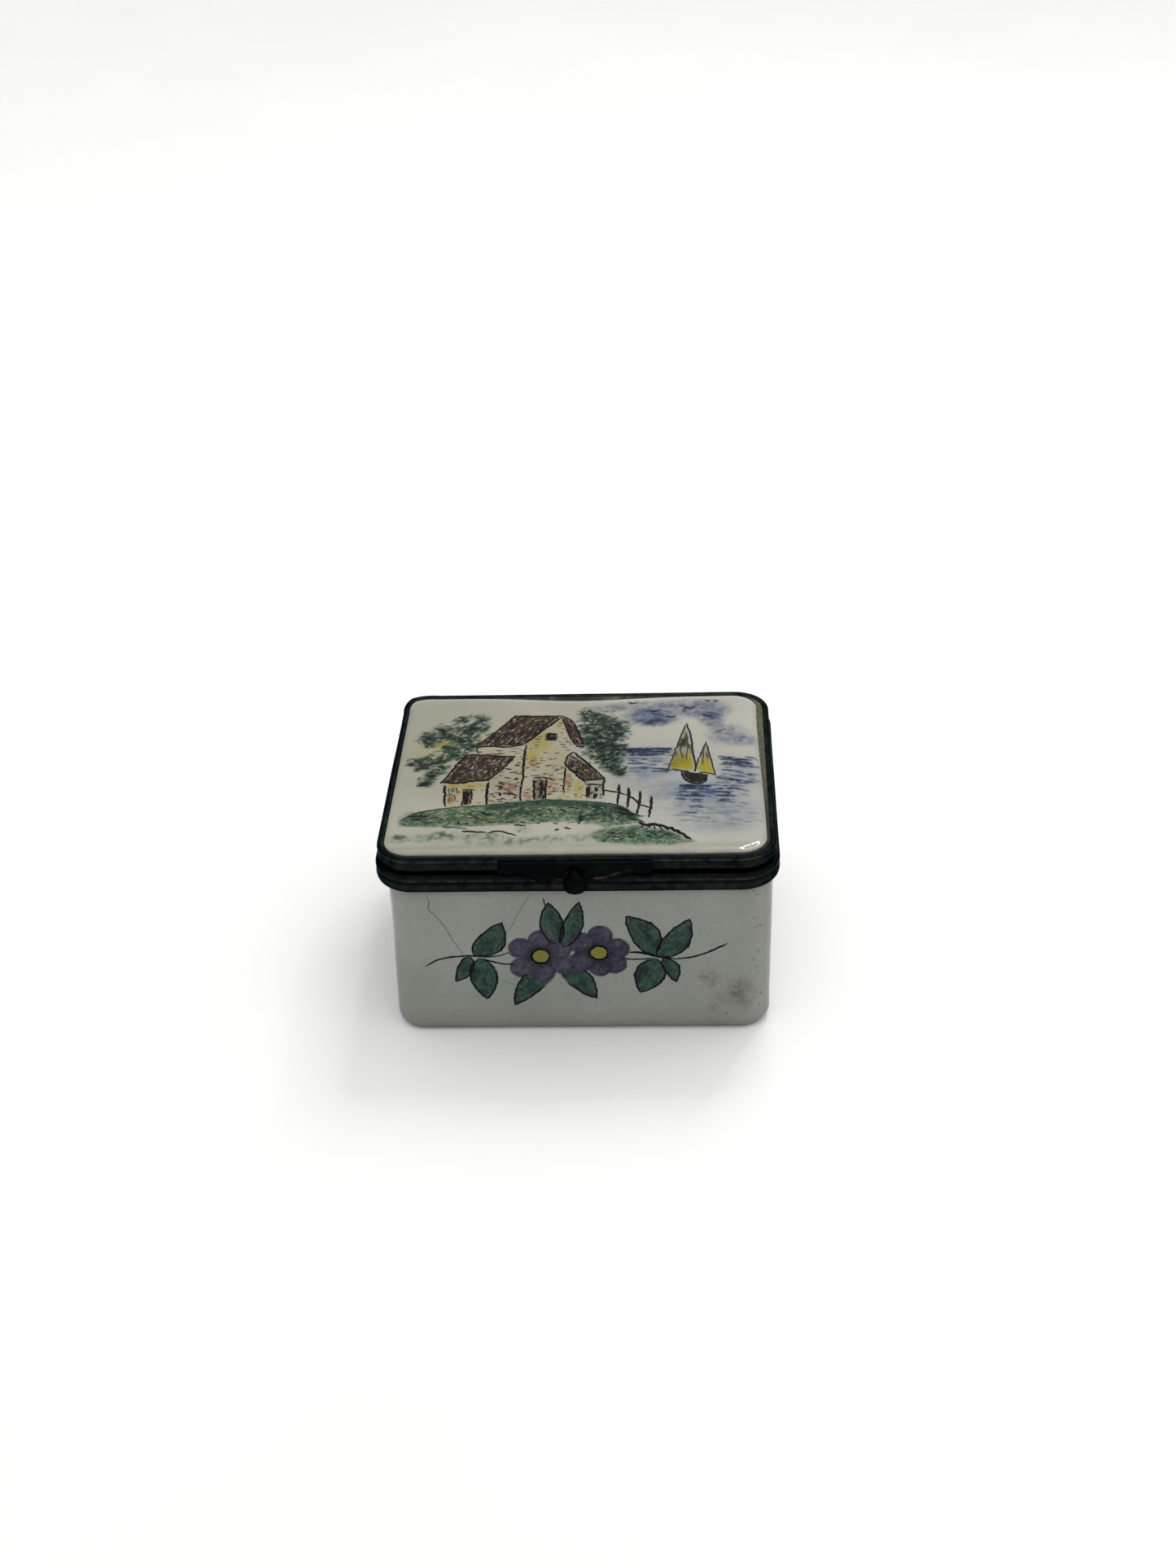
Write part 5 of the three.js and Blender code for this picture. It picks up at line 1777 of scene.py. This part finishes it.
def makeBearers():
    shape = hingeShape
    low, high = nodeBox("base_hinge_bearer")
    groove = shape["groove"]
    rear = math.acos((high[1] - shape["y"]) / groove)
    front = math.acos((low[1] - shape["y"]) / groove)
    arc = [(shape["y"] + groove * math.cos(-a), shape["z"] + groove * math.sin(-a))
           for a in np.linspace(rear, front, 13)]
    makeBearer("base_hinge_leaf", "base_hinge_bearer", "base",
               [(low[1], low[2]), (high[1], low[2]), *arc])
    low, high = nodeBox("lid_hinge_bearer")
    front = math.pi - math.asin((low[2] - shape["z"]) / groove)
    rear = math.acos((high[1] - shape["y"]) / groove)
    arc = [(shape["y"] + groove * math.cos(a), shape["z"] + groove * math.sin(a))
           for a in np.linspace(front, rear, 13)]
    makeBearer("lid_hinge_leaf", "lid_hinge_bearer", "lid",
               [(low[1], low[2]), *arc, (high[1], arc[-1][1] + 0.3), (low[1], high[2])])


makeKnuckles()
makePin()
makeBearers()


print("stage 7: thumb plate and knob")

thumbShape = {
    "width": 21.0, "back": -22.83, "thickness": 0.72, "top": 29.88, "bottom": 28.1, "hangingBack": -23.45,
    "lipDrop": 1.1, "lipFlare": 0.75, "lipThickness": 0.8, "lipStart": 1.3, "lipPeak": 3.0, "lipEnd": 8.0,
    "stations": 240,
}


def makeThumbPlate():
    shape = thumbShape
    half = shape["width"] / 2
    stations = np.linspace(-half, half, shape["stations"] + 1)
    lipsAndLight = []
    points = []
    for x in stations:
        away = abs(x)
        inner = float(ease(away, shape["lipStart"] - 0.6, shape["lipPeak"] - 1.2))
        fall = (4.4, 7.4) if x < 0 else (3.2, 8.0)  # the left lip is fuller than the right
        lips = inner * (1 - float(ease(away, *fall)))
        tail = float(ease(away, fall[0] + 0.8, fall[1] + 1.2))
        ridge = float(ease(away, 0.2, shape["lipPeak"])) * (1 - tail)
        front = shape["back"] - shape["thickness"]
        bottom = shape["bottom"] - (shape["lipDrop"] + 0.1) * lips
        crest = bottom + shape["lipThickness"] * (0.55 + 0.45 * ridge) + 0.4 * (ridge - lips)
        flare = shape["lipFlare"] * (0.35 * ridge + 0.65 * lips)
        edge = 0.12 if abs(x) > half - 0.12 else 0  # softens the plate's two ends
        corners = [
            (shape["back"], max(shape["bottom"] + 0.05, bottom)), (shape["back"], shape["top"]),
            (front + 0.3 + edge, shape["top"]), (front + edge, shape["top"] - 0.34),
            (front - 0.12 * flare + edge, crest + 0.3 * ridge), (front - flare + edge, crest - 0.12),
            (front - 0.92 * flare + edge, bottom + 0.16), (front - 0.66 * flare + 0.05, bottom),
            (shape["hangingBack"], bottom), (shape["hangingBack"], shape["bottom"] + 0.05),
        ]
        loop = roundedLoop(corners, 2, 0.2)
        points.extend((x, y, z) for y, z in loop)
        # painted highlight on the flanks that face the light from the right: inside the left lip and along
        # the right one
        litFlank = float(ease(x, -2.6, -1.8) if x < 0 else ease(x, 2.2, 2.9) * (1 - ease(x, 7.2, 8.2)))
        lipsAndLight.extend([(lips, litFlank, z - crest, y - front) for y, z in loop])
    count = len(points) // len(stations)
    faces = bridge(len(stations), count, False) + endFaces(len(stations), count)
    piece = makePiece("thumb_lift_plate", points, faces, 50)
    lips, ridge, above, behind = np.array(lipsAndLight).T
    x = np.array(points)[:, 0]
    z = np.array(points)[:, 2]
    brown = lips ** 2 * ease(-above, -0.1, 0.3) * (behind < 0.1) * (0.3 + 0.7 * (np.abs(x) < 4.6))
    tarnish = 0.07 * brown * blotches(x, z, 0.6, 91, 0.35, 0.6)
    # worn bronze under the lips, and a painted highlight along the crest of the lit flanks
    setWearAndGlint(piece, tarnish + 0.22 * ridge * np.exp(-(above / 0.06) ** 2))
    settle(piece, "lid", thumbBrass, ["thumb_plate"])


knobShape = {
    "sides": 48,
    "rows": 34,
    "ribs": 8,
    "ribDepth": 0.05,
    # a bud: upright sides, a flat foot and a pointed top, as (share of height, share of radius)
    "outline": [(0, 0), (0, 0.45), (0.03, 0.78), (0.12, 0.95), (0.3, 1.0), (0.48, 0.98), (0.6, 0.9),
                (0.7, 0.7), (0.8, 0.44), (0.9, 0.24), (0.97, 0.1), (1, 0)],
}


def makeKnob():
    shape = knobShape
    steps = shape["sides"]
    profile = shape["outline"]
    low, high = nodeBox("thumb_knob")
    halfX = (high[0] - low[0]) / 2
    halfY = (high[1] - low[1]) / 2
    height = high[2] - low[2]
    middleY = (high[1] + low[1]) / 2
    bend = np.linspace(0, len(profile) - 1, shape["rows"])
    level = np.interp(bend, range(len(profile)), [step[0] for step in profile])
    radius = np.interp(bend, range(len(profile)), [step[1] for step in profile])
    turn = np.linspace(0, 2 * math.pi, steps, endpoint=False)
    points = []
    for r, h in zip(radius[1:-1], level[1:-1]):
        ribs = 1 - shape["ribDepth"] / 2 * (1 - np.cos(turn * shape["ribs"])) * r
        points.extend(np.column_stack([halfX * r * ribs * np.cos(turn),
                                       middleY + halfY * r * ribs * np.sin(turn),
                                       np.full(steps, low[2] + height * h)]))
    points += [(0, middleY, low[2]), (0, middleY, high[2])]
    rows = len(radius) - 2
    faces = bridge(rows, steps, False)
    for step in range(steps):
        following = (step + 1) % steps
        faces.append((len(points) - 2, following, step))
        faces.append((len(points) - 1, (rows - 1) * steps + step, (rows - 1) * steps + following))
    piece = makePiece("bud_knob", points, faces, 60)
    spots = np.array(points)
    # painted highlights: a band near the foot on the right side, and a faint one at the tip
    bright = np.exp(-((spots[:, 2] - low[2] - 0.25) / 0.12) ** 2) * ease(spots[:, 0], 0.2, 1.0)
    setWearAndGlint(piece, 0.04 * ease(spots[:, 2], high[2] - 1.0, high[2]) + 0.3 * bright)
    settle(piece, "lid", thumbBrass, ["thumb_knob"])


makeThumbPlate()
makeKnob()
